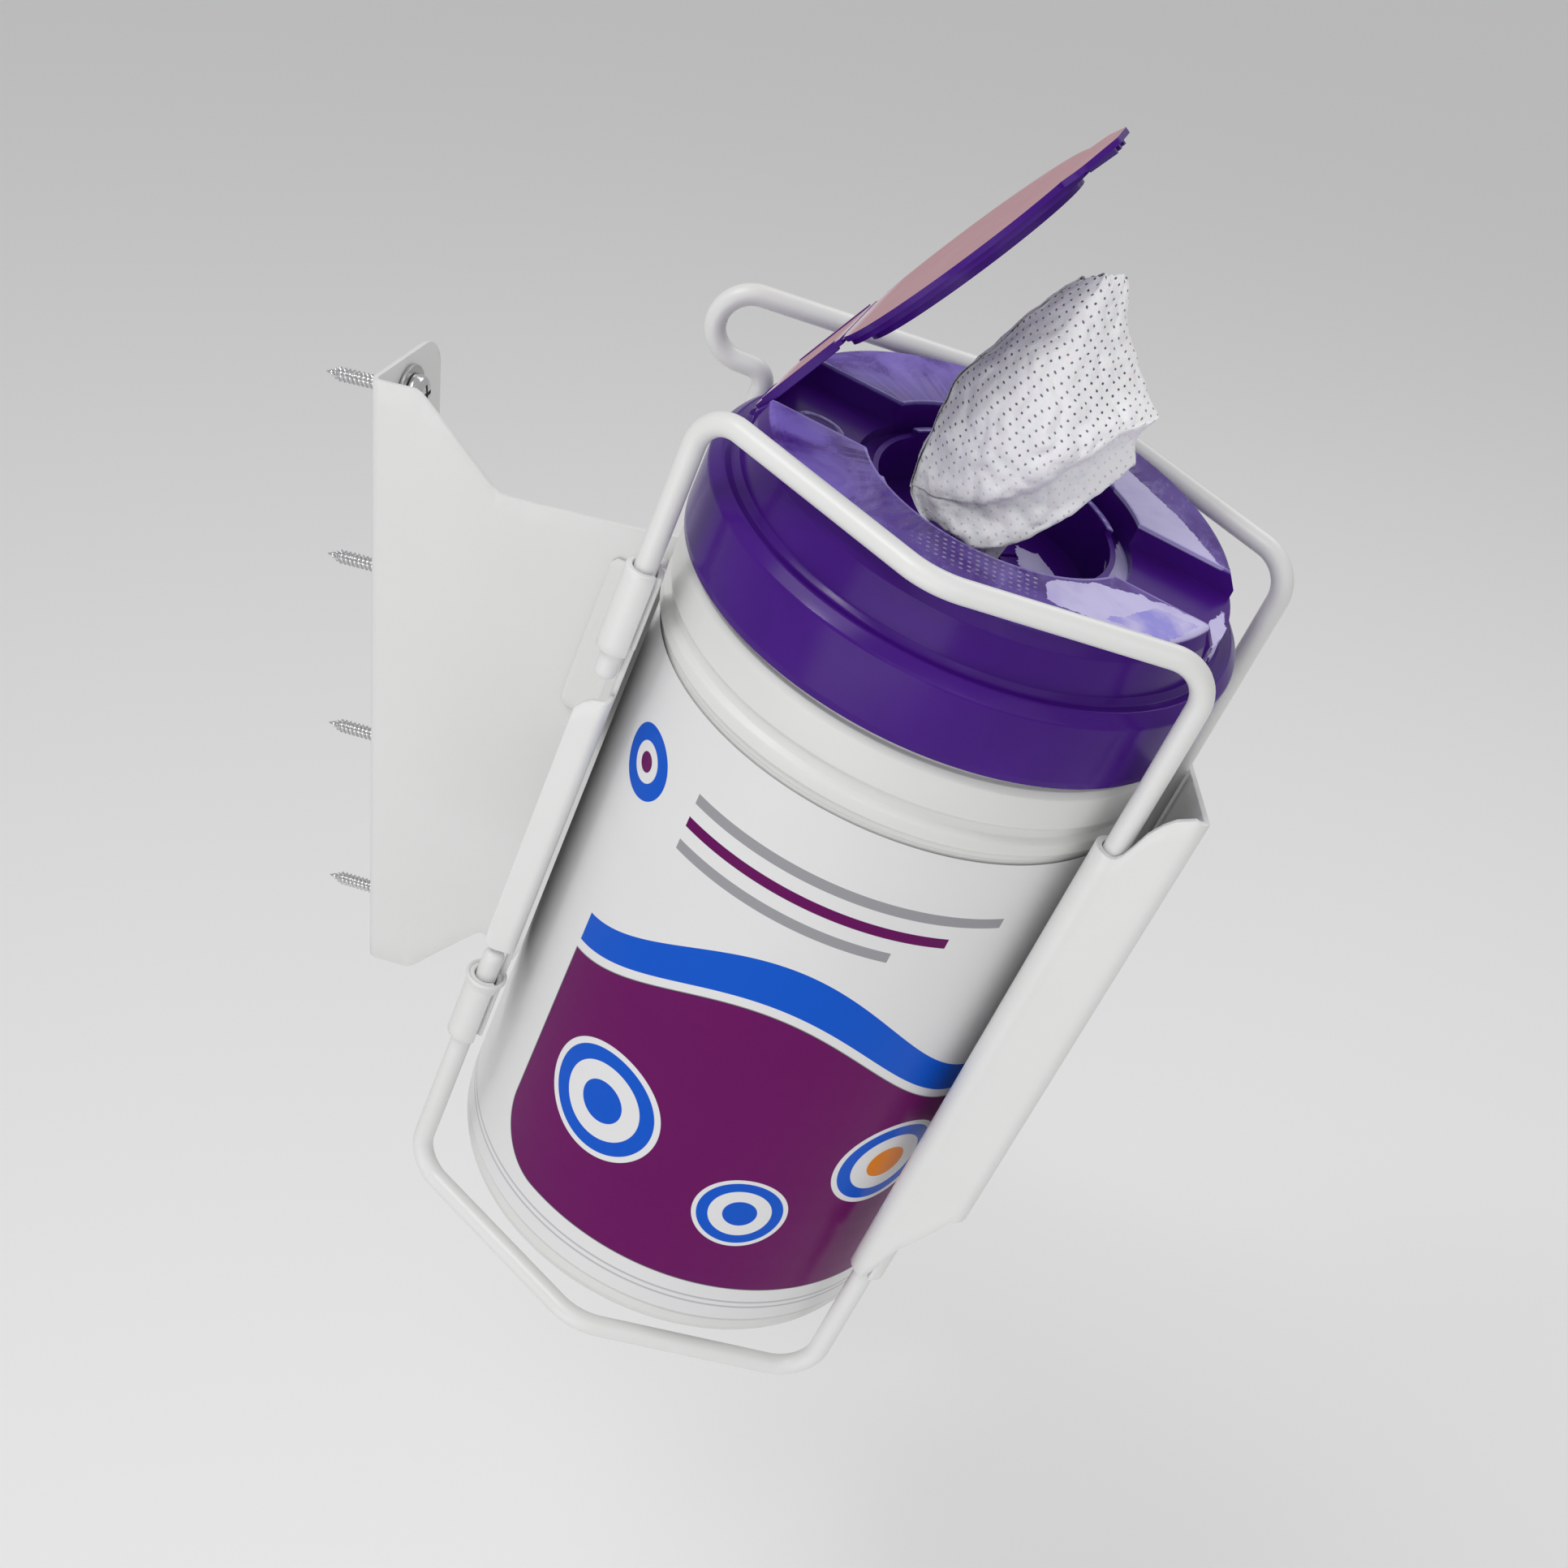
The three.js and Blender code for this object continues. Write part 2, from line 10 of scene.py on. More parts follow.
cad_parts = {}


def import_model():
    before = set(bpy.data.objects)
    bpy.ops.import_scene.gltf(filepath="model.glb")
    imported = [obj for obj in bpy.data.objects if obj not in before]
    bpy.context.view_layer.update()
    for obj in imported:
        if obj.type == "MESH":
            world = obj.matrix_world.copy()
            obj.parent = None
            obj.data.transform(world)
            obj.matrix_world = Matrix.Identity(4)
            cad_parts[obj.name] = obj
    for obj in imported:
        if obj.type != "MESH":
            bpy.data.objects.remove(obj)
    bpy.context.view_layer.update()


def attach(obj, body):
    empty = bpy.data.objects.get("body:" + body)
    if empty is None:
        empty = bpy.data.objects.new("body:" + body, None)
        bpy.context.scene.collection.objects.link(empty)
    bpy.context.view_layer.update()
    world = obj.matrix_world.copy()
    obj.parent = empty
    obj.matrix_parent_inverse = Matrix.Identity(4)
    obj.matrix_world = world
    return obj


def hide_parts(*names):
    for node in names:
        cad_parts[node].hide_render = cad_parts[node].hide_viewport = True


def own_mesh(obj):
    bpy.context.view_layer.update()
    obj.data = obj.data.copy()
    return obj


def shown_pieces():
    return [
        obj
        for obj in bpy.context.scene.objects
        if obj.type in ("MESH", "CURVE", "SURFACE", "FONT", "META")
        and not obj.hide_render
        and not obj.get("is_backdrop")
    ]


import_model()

# ---------- frames ----------
LEAN = math.radians(15.4)
C, S = math.cos(LEAN), math.sin(LEAN)
AX = np.array([138.0, -93.5, -80.0])


def tw(p, y, a):
    """Tub frame in mm to the part's frame in mm."""
    return (p * C + a * S + AX[0], y + AX[1], -p * S + a * C + AX[2])


def world(points, tub=True):
    q = np.asarray(points, float)
    if tub:
        p, y, a = q[:, 0], q[:, 1], q[:, 2]
        q = np.stack([p * C + a * S + AX[0], y + AX[1], -p * S + a * C + AX[2]], 1)
    return q * 0.001


def to_tub(co):
    q = np.asarray(co, float) * 1000 - AX
    return np.stack([q[:, 0] * C - q[:, 2] * S, q[:, 1], q[:, 0] * S + q[:, 2] * C], 1)


# ---------- meshes ----------
def coords(me):
    co = np.zeros(len(me.vertices) * 3)
    me.vertices.foreach_get("co", co)
    return co.reshape(-1, 3)


def attribute(me, name, values):
    at = me.attributes.get(name) or me.attributes.new(name, "FLOAT_VECTOR", "POINT")
    at.data.foreach_set("vector", np.asarray(values, np.float32).ravel())


def make(name, points, faces, tub=True, smooth=True):
    me = bpy.data.meshes.new(name)
    me.from_pydata([tuple(v) for v in world(points, tub)], [], faces)
    me.validate()
    me.update()
    if smooth:
        me.shade_smooth()
    ob = bpy.data.objects.new(name, me)
    bpy.context.scene.collection.objects.link(ob)
    return ob


def fix_normals(ob):
    bm = bmesh.new()
    bm.from_mesh(ob.data)
    bmesh.ops.recalc_face_normals(bm, faces=bm.faces)
    bm.to_mesh(ob.data)
    bm.free()


def sharp(me, degrees):
    """Marks the edges over an angle sharp."""
    bm = bmesh.new()
    bm.from_mesh(me)
    lim = math.radians(degrees)
    for e in bm.edges:
        e.smooth = not (len(e.link_faces) == 2 and e.calc_face_angle(0) > lim)
    bm.to_mesh(me)
    bm.free()


def applied(ob):
    """Applies all modifiers."""
    dg = bpy.context.evaluated_depsgraph_get()
    me = bpy.data.meshes.new_from_object(ob.evaluated_get(dg))
    ob.modifiers.clear()
    old = ob.data
    ob.data = me
    bpy.data.meshes.remove(old)
    return ob


def join(name, obs):
    """One mesh out of several, without any of them welded."""
    bm = bmesh.new()
    for o in obs:
        bm.from_mesh(o.data)
    me = bpy.data.meshes.new(name)
    bm.to_mesh(me)
    bm.free()
    for o in obs:
        bpy.data.objects.remove(o)
    ob = bpy.data.objects.new(name, me)
    bpy.context.scene.collection.objects.link(ob)
    return ob


def modify(ob, kind, **values):
    m = ob.modifiers.new(kind.lower(), kind)
    for k, v in values.items():
        setattr(m, k, v)
    return m


def bevel(ob, width, segments=3, angle=35, harden=True):
    modify(ob, "BEVEL", width=width * 0.001, segments=segments, limit_method="ANGLE", angle_limit=math.radians(angle), harden_normals=harden)


def grid(name, rows, closed_u=False, closed_v=False, tub=True, caps=False):
    """Quads over rows of points, all rows as long."""
    n, m = len(rows), len(rows[0])
    pts = [q for r in rows for q in r]
    faces = []
    for i in range(n if closed_u else n - 1):
        for j in range(m if closed_v else m - 1):
            i2, j2 = (i + 1) % n, (j + 1) % m
            faces.append((i * m + j, i2 * m + j, i2 * m + j2, i * m + j2))
    if caps:
        faces.append(tuple(range(m)))
        faces.append(tuple((n - 1) * m + k for k in reversed(range(m))))
    return make(name, pts, faces, tub)


def fillet(profile, radii, n=4):
    """A polyline with its corners rounded; radii has one value for each point."""
    out = []
    P = [np.array(q, float) for q in profile]
    for i, q in enumerate(P):
        r = radii[i] if i < len(radii) else 0
        if r <= 0 or i in (0, len(P) - 1):
            out.append(tuple(q))
            continue
        u, v = P[i - 1] - q, P[i + 1] - q
        lu, lv = np.linalg.norm(u), np.linalg.norm(v)
        u, v = u / lu, v / lv
        ang = math.acos(max(-1, min(1, float(u @ v))))
        if ang > math.pi - 0.02:
            out.append(tuple(q))
            continue
        d = min(r / math.tan(ang / 2), lu * 0.48, lv * 0.48)
        r2 = d * math.tan(ang / 2)
        c = q + (u + v) / np.linalg.norm(u + v) * (r2 / math.sin(ang / 2))
        a, b = q + u * d - c, q + v * d - c
        w = math.acos(max(-1, min(1, float(a @ b) / (np.linalg.norm(a) * np.linalg.norm(b)))))
        for k in range(n + 1):
            t = k / n
            if w < 1e-4:
                out.append(tuple(c + a * (1 - t) + b * t))
            else:
                out.append(tuple(c + a * math.sin((1 - t) * w) / math.sin(w) + b * math.sin(t * w) / math.sin(w)))
    return out


def lathe(name, profile, seg=160, tub=True, closed=True, start=0.0, sweep=360.0):
    """profile: [r, a]; closed joins its end to its start."""
    full = abs(sweep - 360) < 1e-6
    n = seg if full else seg + 1
    rows = []
    for k in range(n):
        t = math.radians(start + sweep * k / seg)
        rows.append([(r * math.cos(t), r * math.sin(t), a) for r, a in profile])
    ob = grid(name, rows, closed_u=full, closed_v=closed, tub=tub)
    if any(r < 1e-6 for r, a in profile):
        bm = bmesh.new()
        bm.from_mesh(ob.data)
        bmesh.ops.remove_doubles(bm, verts=bm.verts, dist=1e-7)
        bm.to_mesh(ob.data)
        bm.free()
    fix_normals(ob)
    return ob


def prism(name, outline, lo, hi, tub=True):
    """outline: [u, v] in the P-Y plane, from lo to hi along A."""
    n = len(outline)
    pts = [(u, v, lo) for u, v in outline] + [(u, v, hi) for u, v in outline]
    faces = [tuple(reversed(range(n))), tuple(range(n, 2 * n))] + [(i, (i + 1) % n, n + (i + 1) % n, n + i) for i in range(n)]
    ob = make(name, pts, faces, tub, smooth=False)
    fix_normals(ob)
    return ob


def circle(r, seg, cx=0.0, cy=0.0):
    return [(cx + r * math.cos(2 * math.pi * k / seg), cy + r * math.sin(2 * math.pi * k / seg)) for k in range(seg)]


def rect(x0, x1, y0, y1):
    return [(x0, y0), (x1, y0), (x1, y1), (x0, y1)]


def boolean(ob, other, operation):
    modify(ob, "BOOLEAN", object=other, operation=operation, solver="MANIFOLD")
    applied(ob)
    bpy.data.objects.remove(other)
    return ob


def bent(corners, steps=14):
    P = [np.array(c[:3], float) for c in corners]
    out = [P[0]]
    for i in range(1, len(P) - 1):
        u, v = P[i - 1] - P[i], P[i + 1] - P[i]
        u, v = u / np.linalg.norm(u), v / np.linalg.norm(v)
        half = math.acos(float(u @ v)) / 2
        r = corners[i][3]
        d = r / math.tan(half)
        c = P[i] + (u + v) / np.linalg.norm(u + v) * (r / math.sin(half))
        a, b = P[i] + u * d - c, P[i] + v * d - c
        w = math.acos(float(a @ b) / (np.linalg.norm(a) * np.linalg.norm(b)))
        for k in range(steps + 1):
            t = k / steps
            out.append(c + a * math.sin((1 - t) * w) / math.sin(w) + b * math.sin(t * w) / math.sin(w))
    out.append(P[-1])
    return out


def rod(name, corners, r, n=28):
    path = bent(corners)
    fine = [path[0]]
    for q in path[1:]:  # straight runs get points of their own, so that shading stays even
        d = np.linalg.norm(q - fine[-1])
        k = max(1, int(d // 12))
        base = fine[-1]
        fine += [base + (q - base) * (i / k) for i in range(1, k + 1)]
    path = fine
    dirs = []
    for i in range(len(path)):
        d = path[min(i + 1, len(path) - 1)] - path[max(i - 1, 0)]
        dirs.append(d / np.linalg.norm(d))
    side = np.array([0.0, 1.0, 0.0]) if abs(dirs[0][1]) < 0.9 else np.array([1.0, 0, 0])
    rings = []

    def add(c, d, radius):
        nonlocal side
        side = side - d * float(side @ d)
        side = side / np.linalg.norm(side)
        up = np.cross(d, side)
        rings.append([tuple(c + radius * (math.cos(2 * math.pi * k / n) * side + math.sin(2 * math.pi * k / n) * up)) for k in range(n)])

    ends = [(0.0, 0.02), (0.03, 0.45), (0.12, 0.72), (0.3, 0.9), (0.55, 0.99)]
    for h, s in ends:
        add(path[0] + dirs[0] * r * h, dirs[0], r * s)
    for i, q in enumerate(path):
        q = q + dirs[0] * r if i == 0 else q - dirs[-1] * r if i == len(path) - 1 else q
        add(q, dirs[i], r)
    for h, s in reversed(ends):
        add(path[-1] - dirs[-1] * r * h, dirs[-1], r * s)
    ob = grid(name, rings, closed_v=True, caps=True)
    fix_normals(ob)
    return ob


def column_sheet(name, columns, thick=1.6, rows=24, width=0.5, tub=True, offset=0.0):
    """A bent sheet: each column is a pair of points, its lower and upper end, on the sheet's middle."""
    pts = [[tuple(np.array(b) + (np.array(t) - np.array(b)) * (j / rows)) for j in range(rows + 1)] for b, t in columns]
    ob = grid(name, pts, tub=tub)
    modify(ob, "SOLIDIFY", thickness=thick * 0.001, offset=offset, use_even_offset=True)
    bevel(ob, width, 3, 50)
    applied(ob)
    return ob


# ---------- materials ----------
class V:
    """A value in a shader: arithmetic on it adds math nodes."""

    tree = None

    def __init__(self, socket):
        self.s = socket

    @staticmethod
    def op(kind, *values):
        n = V.tree.nodes.new("ShaderNodeMath")
        n.operation = kind
        for i, v in enumerate(values):
            if isinstance(v, V):
                V.tree.links.new(v.s, n.inputs[i])
            else:
                n.inputs[i].default_value = float(v)
        return V(n.outputs[0])

    def __add__(self, o): return V.op("ADD", self, o)
    def __radd__(self, o): return V.op("ADD", o, self)
    def __sub__(self, o): return V.op("SUBTRACT", self, o)
    def __rsub__(self, o): return V.op("SUBTRACT", o, self)
    def __mul__(self, o): return V.op("MULTIPLY", self, o)
    def __rmul__(self, o): return V.op("MULTIPLY", o, self)
    def __truediv__(self, o): return V.op("DIVIDE", self, o)
    def __neg__(self): return V.op("MULTIPLY", self, -1)


def vmin(*v):
    r = v[0]
    for q in v[1:]:
        r = V.op("MINIMUM", r, q)
    return r


def vmax(*v):
    r = v[0]
    for q in v[1:]:
        r = V.op("MAXIMUM", r, q)
    return r


def step(v, lo, hi):
    """0 at lo, 1 at hi, smooth."""
    n = V.tree.nodes.new("ShaderNodeMapRange")
    n.interpolation_type = "SMOOTHSTEP"
    V.tree.links.new(v.s, n.inputs["Value"])
    n.inputs["From Min"].default_value = lo
    n.inputs["From Max"].default_value = hi
    return V(n.outputs["Result"])


def clamp(v):
    return V.op("MINIMUM", V.op("MAXIMUM", v, 0.0), 1.0)


def distance(x, y, cx, cy):
    dx, dy = x - cx, y - cy
    return V.op("SQRT", dx * dx + dy * dy)


class Mat:
    """A material that reads a point attribute in mm."""

    def __init__(self, name, attr="pya"):
        self.m = bpy.data.materials.new(name)
        self.m.use_nodes = True
        self.t = self.m.node_tree
        V.tree = self.t
        self.b = self.t.nodes["Principled BSDF"]
        a = self.t.nodes.new("ShaderNodeAttribute")
        a.attribute_name = attr
        self.at = a.outputs["Vector"]
        sep = self.t.nodes.new("ShaderNodeSeparateXYZ")
        self.t.links.new(self.at, sep.inputs[0])
        self.x, self.y, self.z = (V(sep.outputs[k]) for k in range(3))
        self.height = None

    def noise(self, scale, detail=3.0, rough=0.5, stretch=None, offset=0.0, distortion=0.0):
        """Noise whose features are about 1 / scale mm wide, from 0 to 1."""
        n = self.t.nodes.new("ShaderNodeTexNoise")
        n.inputs["Scale"].default_value = scale
        n.inputs["Detail"].default_value = detail
        n.inputs["Roughness"].default_value = rough
        n.inputs["Distortion"].default_value = distortion
        mp = self.t.nodes.new("ShaderNodeMapping")
        mp.inputs["Location"].default_value = (offset, offset * 0.7, offset * 0.3)
        if stretch:
            mp.inputs["Scale"].default_value = stretch
        self.t.links.new(self.at, mp.inputs["Vector"])
        self.t.links.new(mp.outputs[0], n.inputs["Vector"])
        return V(n.outputs["Fac"])

    def colour(self, rgb):
        n = self.t.nodes.new("ShaderNodeRGB")
        n.outputs[0].default_value = (*rgb, 1)
        return n.outputs[0]

    def mix(self, a, b, f):
        n = self.t.nodes.new("ShaderNodeMix")
        n.data_type = "RGBA"
        n.clamp_factor = True
        if isinstance(f, V):
            self.t.links.new(f.s, n.inputs["Factor"])
        else:
            n.inputs["Factor"].default_value = f
        for v, k in ((a, 6), (b, 7)):
            if isinstance(v, tuple):
                n.inputs[k].default_value = (*v, 1)
            else:
                self.t.links.new(v, n.inputs[k])
        return n.outputs[2]

    def base(self, c):
        if isinstance(c, tuple):
            self.b.inputs["Base Color"].default_value = (*c, 1)
        else:
            self.t.links.new(c, self.b.inputs["Base Color"])

    def rough(self, v):
        if isinstance(v, V):
            self.t.links.new(v.s, self.b.inputs["Roughness"])
        else:
            self.b.inputs["Roughness"].default_value = v

    def set(self, **k):
        for name, v in k.items():
            self.b.inputs[name.replace("_", " ")].default_value = v

    def bump(self, v, mm=0.1):
        """v is a height from 0 to 1, mm tall."""
        n = self.t.nodes.new("ShaderNodeBump")
        n.inputs["Strength"].default_value = 1.0
        n.inputs["Distance"].default_value = mm * 0.001
        self.t.links.new(v.s, n.inputs["Height"])
        if self.height is not None:
            self.t.links.new(self.height, n.inputs["Normal"])
        self.height = n.outputs[0]
        self.t.links.new(self.height, self.b.inputs["Normal"])


def coat_material():
    m = Mat("coated_steel")
    peel = m.noise(0.55, 2, 0.5)
    fine = m.noise(3.2, 3, 0.6)
    cloud = m.noise(0.02, 3, 0.5, offset=3)
    scuff = step(m.noise(0.11, 5, 0.7, stretch=(1, 1, 0.35), offset=9), 0.64, 0.78)
    c = m.mix((0.70, 0.70, 0.69), (0.75, 0.75, 0.745), cloud)
    c = m.mix(c, (0.60, 0.60, 0.585), scuff * 0.22)
    m.base(c)
    m.rough(0.34 + fine * 0.1 + scuff * 0.12)
    m.set(Coat_Weight=0.12, Coat_Roughness=0.25)
    m.bump(peel, 0.035)
    m.bump(fine, 0.006)
    return m.m


def chrome_material():
    m = Mat("chrome_steel")
    s = m.noise(1.2, 4, 0.6, stretch=(1, 1, 6))
    m.base(m.mix((0.55, 0.55, 0.56), (0.72, 0.72, 0.73), s))
    m.set(Metallic=1.0)
    m.rough(0.12 + s * 0.14)
    m.bump(s, 0.01)
    return m.m


def zinc_material():
    m = Mat("zinc_steel")
    s = m.noise(0.9, 5, 0.65)
    m.base(m.mix((0.38, 0.38, 0.38), (0.56, 0.56, 0.55), s))
    m.set(Metallic=0.9)
    m.rough(0.3 + s * 0.2)
    m.bump(m.noise(2.5, 2), 0.02)
    return m.m


def tub_material():
    m = Mat("tub_plastic")
    wave = m.noise(0.03, 2, 0.5, stretch=(1, 1, 2.5))
    fine = m.noise(2.2, 3, 0.6)
    c = m.mix((0.66, 0.66, 0.645), (0.71, 0.71, 0.70), wave)
    m.base(c)
    m.rough(0.36 + fine * 0.08)
    m.set(Subsurface_Weight=0.12, Subsurface_Scale=0.003)
    m.b.inputs["Subsurface Radius"].default_value = (1.0, 0.95, 0.85)
    m.bump(wave, 0.12)
    m.bump(fine, 0.004)
    return m.m


PLUM, BLUE, WHITE = (0.118, 0.002, 0.092), (0.002, 0.085, 0.54), (0.72, 0.72, 0.73)


def label_material():
    """Plain fields: a plum panel with a waved upper edge, a blue band over it, rings and a disc. x is mm round the tub from its front, z the height."""
    m = Mat("label_film", "lab")
    x, z = m.x, m.z
    wave = V.op("SINE", (x + 22.0) / 21.0)
    edge = 103.0 + wave * 12.0
    left, right = -47.0, 96.0
    side = vmin(x - left, right - x)
    # the panel's lower corners are round
    corner = distance(x, z, left + 18.0, 38.0)
    in_corner = vmin(step(-(x - (left + 18.0)), 0, 0.01), step(-(z - 38.0), 0, 0.01))
    body = vmin(side, z - 20.0, edge - z)
    body = body * (1.0 - in_corner) + vmin(18.0 - corner, edge - z) * in_corner
    aa = 0.09
    plum = step(body, -aa, aa)
    band = step(vmin(z - (edge + 3.0), (edge + 14.0 + wave * 2.0) - z, side), -aa, aa)
    line = step(0.28 - V.op("ABSOLUTE", body), -0.1, 0.1)
    shade = m.noise(0.03, 2, 0.5)
    c = m.mix((0.69, 0.69, 0.70), (0.73, 0.73, 0.735), shade)
    c = m.mix(c, BLUE, band)
    plum_c = m.mix(PLUM, (0.134, 0.003, 0.105), shade)
    c = m.mix(c, plum_c, plum)
    c = m.mix(c, (0.05, 0.01, 0.05), line * 0.7)
    # a small disc high on the left, over three thin bars
    d = distance(x, z, -50.0, 151.0)
    c = m.mix(c, BLUE, step(9.5 - d, -aa, aa))
    c = m.mix(c, WHITE, step(5.2 - d, -aa, aa))
    c = m.mix(c, PLUM, step(2.6 - d, -aa, aa))
    for k in range(3):
        bar = vmin(x + 30.0, (52.0 - 12.0 * k) - x, 1.5 - V.op("ABSOLUTE", z - (157.0 - 7.0 * k)))
        c = m.mix(c, (0.30, 0.30, 0.32) if k != 1 else PLUM, step(bar, -aa, aa))
    # rings on the panel
    for cx, cz, r, inner in ((-20.0, 62.0, 17.5, None), (25.0, 49.0, 12.5, None), (59.0, 70.0, 15.5, (0.75, 0.22, 0.01))):
        d = distance(x, z, cx, cz)
        c = m.mix(c, WHITE, step(r - d, -aa, aa))
        c = m.mix(c, BLUE, step(vmin(r * 0.90 - d, d - r * 0.66), -aa, aa))
        c = m.mix(c, BLUE if inner is None else inner, step(r * 0.36 - d, -aa, aa))
    # grey hairlines near the foot
    for k in range(2):
        c = m.mix(c, (0.42, 0.42, 0.44), step(0.35 - V.op("ABSOLUTE", z - (12.5 + 2.0 * k)), -0.08, 0.08) * 0.8)
    m.base(c)
    fine = m.noise(1.6, 3, 0.6)
    wrinkle = m.noise(0.045, 3, 0.5, stretch=(1, 1, 2.4), offset=5)
    m.rough(0.2 + fine * 0.06)
    m.b.inputs["Specular IOR Level"].default_value = 0.10
    m.bump(wrinkle, 0.16)
    m.bump(fine, 0.003)
    return m.m


PURPLE = (0.038, 0.0035, 0.145)


# outlines of the dried film's patches and of the specks, in mm in the lid's plane
FILM_BACK = [(19.1, 33.3), (29.1, 12.4), (39.3, 11.7), (54.0, 13.9), (39.1, 29.1), (23.2, 39.9)]
FILM_FRONT = [(18.3, -33.3), (21.6, -40.4), (37.6, -38.1), (54.4, -28.7), (56.7, -18.7), (54.7, -14.1), (38.2, -17.6), (28.3, -23.0)]
FILM_WELL = [(7.5, 14.0), (12.2, 3.1), (19.9, 8.3), (13.2, 15.3)]
FILM_POCKET = [(29.7, -1.5), (35.5, 2.9), (34.3, 20.8), (29.8, 29.4), (28.0, 8.0)]
FILM_EDGE = [(54.6, -10.4), (57.9, -14.4), (61.5, -2.4), (57.7, 6.6)]
FILM_WASH = [(34.1, -35.3), (48.2, -32.3), (53.4, -18.1), (42.2, -19.8)]
SPECKS = [(-13.4, -41.9), (-8.0, -46.7), (4.3, -46.5), (18.9, -42.7), (17.6, -32.4), (-6.4, -35.0)]


def inside(x, y, outline, soft=0.25):
    """One inside a convex outline, nought outside it."""
    area = sum(a[0] * b[1] - b[0] * a[1] for a, b in zip(outline, outline[1:] + outline[:1]))
    pts = outline if area > 0 else outline[::-1]
    edges = []
    for (x0, y0), (x1, y1) in zip(pts, pts[1:] + pts[:1]):
        n = math.hypot(x1 - x0, y1 - y0)
        nx, ny = -(y1 - y0) / n, (x1 - x0) / n
        edges.append(x * nx + y * ny - (x0 * nx + y0 * ny))
    return step(vmin(*edges), -soft * 0.2, soft)


def lid_material(name="lid_plastic", attr="pya"):
    m = Mat(name, attr)
    fine = m.noise(1.8, 3, 0.6)
    cloud = m.noise(0.045, 4, 0.55)
    c = m.mix(PURPLE, (0.062, 0.009, 0.225), cloud)
    if attr == "pya":
        # the top face is painted lighter in cloudy patches, a painted sheen that is strongest on the left, and those
        # patches are also rougher; a dried, milky film lies in hard-edged patches on its right and in the well
        r = V.op("SQRT", m.x * m.x + m.y * m.y)
        top = step(m.z, 233.9, 234.5)
        wx = m.x + (m.noise(0.16, 4, 0.65, offset=13) - 0.5) * 5.0
        wy = m.y + (m.noise(0.16, 4, 0.65, offset=31) - 0.5) * 5.0
        painted_sheen = step(m.noise(0.06, 5, 0.6, offset=21, distortion=0.6), 0.28, 0.62)
        painted_sheen_left = vmax(step(-m.x, -4.0, 36.0), 0.4)
        # painted sheen: the top face turns a lighter violet in cloudy patches, more on the left
        c = m.mix(c, (0.205, 0.14, 0.54), painted_sheen * painted_sheen_left * top * 0.9)
        streak = step(m.noise(0.20, 5, 0.7, stretch=(1, 0.3, 1), offset=4), 0.52, 0.72) * top * 0.3
        c = m.mix(c, (0.30, 0.24, 0.60), streak)
        film = inside(wx, wy, FILM_BACK) * top
        film = vmax(film, inside(wx, wy, FILM_FRONT) * top)
        film = vmax(film, inside(wx, wy, FILM_WELL) * step(m.z, 215.6, 215.9) * step(-m.z, -217.0, -216.6))
        film = vmax(film, inside(wx, wy, FILM_POCKET) * step(m.z, 225.6, 225.9) * step(-m.z, -227.0, -226.4))
        film = vmax(film, inside(wx, wy, FILM_EDGE) * step(m.z, 222.5, 223.5) * step(r, 54.8, 55.4))
        wash = inside(wx, wy, FILM_WASH) * top
        lilac = m.mix((0.55, 0.51, 0.77), (0.48, 0.43, 0.72), step(m.noise(0.12, 3, 0.5, offset=6), 0.4, 0.7))
        c = m.mix(c, lilac, film)
        c = m.mix(c, (0.22, 0.20, 0.66), wash * step(m.noise(0.10, 3, 0.5, offset=17), 0.30, 0.62) * 0.8)
        # painted highlights: thin pale lines along the upper edges of the channel and pocket, and on the ring's top
        rim = vmax(step(0.4 - V.op("ABSOLUTE", V.op("ABSOLUTE", m.y) - 15.2), -0.1, 0.1) * step(r, 34.8, 35.4), step(0.42 - V.op("ABSOLUTE", r - 35.0), -0.1, 0.1) * step(V.op("ABSOLUTE", m.y), 15.0, 15.4)) * step(m.z, 234.3, 234.7)
        rim = vmax(rim, step(m.z, 230.0, 230.3) * step(-m.z, -231.2, -230.9) * step(r, 28.9, 29.1) * step(-r, -31.2, -30.9))
        c = m.mix(c, (0.33, 0.27, 0.66), rim * (0.35 + 0.5 * m.noise(0.12, 3, 0.6, offset=40)))
        # specks pressed off the cloth on a slanted grid, in a crescent beside the well
        gx, gy = V.op("PINGPONG", m.x + m.y * 0.25, 1.0), V.op("PINGPONG", m.y - m.x * 0.25, 1.0)
        dot = step(0.42 - V.op("SQRT", gx * gx * 0.7 + gy * gy * 1.5), -0.12, 0.12)
        specks = dot * inside(m.x, m.y, SPECKS, 3.0) * top * (0.25 + 0.75 * step(m.noise(0.07, 2, 0.5, offset=2), 0.40, 0.60))
        c = m.mix(c, (0.78, 0.76, 0.90), specks)
        # painted highlight: the raised oval's rim is coloured pale, as if it catches the light
        ex, ey = (m.x + 45.0) / 5.4, (m.y + 3.0) / 3.4
        oval_highlight = step(0.13 - V.op("ABSOLUTE", V.op("SQRT", ex * ex + ey * ey) - 1.0), -0.05, 0.05) * step(m.z, 228.6, 228.9) * step(-m.z, -230.2, -230.0)
        c = m.mix(c, (0.52, 0.47, 0.82), oval_highlight * (0.35 + 0.6 * step(m.noise(0.25, 3, 0.5, offset=44), 0.4, 0.6)))
        m.rough(0.17 + fine * 0.05 + film * 0.33 + streak * 0.3 + painted_sheen * painted_sheen_left * top * 0.16)
        m.bump(film, 0.03)
    else:
        m.rough(0.19 + fine * 0.08)
    m.base(c)
    m.b.inputs["Specular IOR Level"].default_value = 0.17
    m.bump(cloud, 0.06)
    m.bump(fine, 0.005)
    return m.m


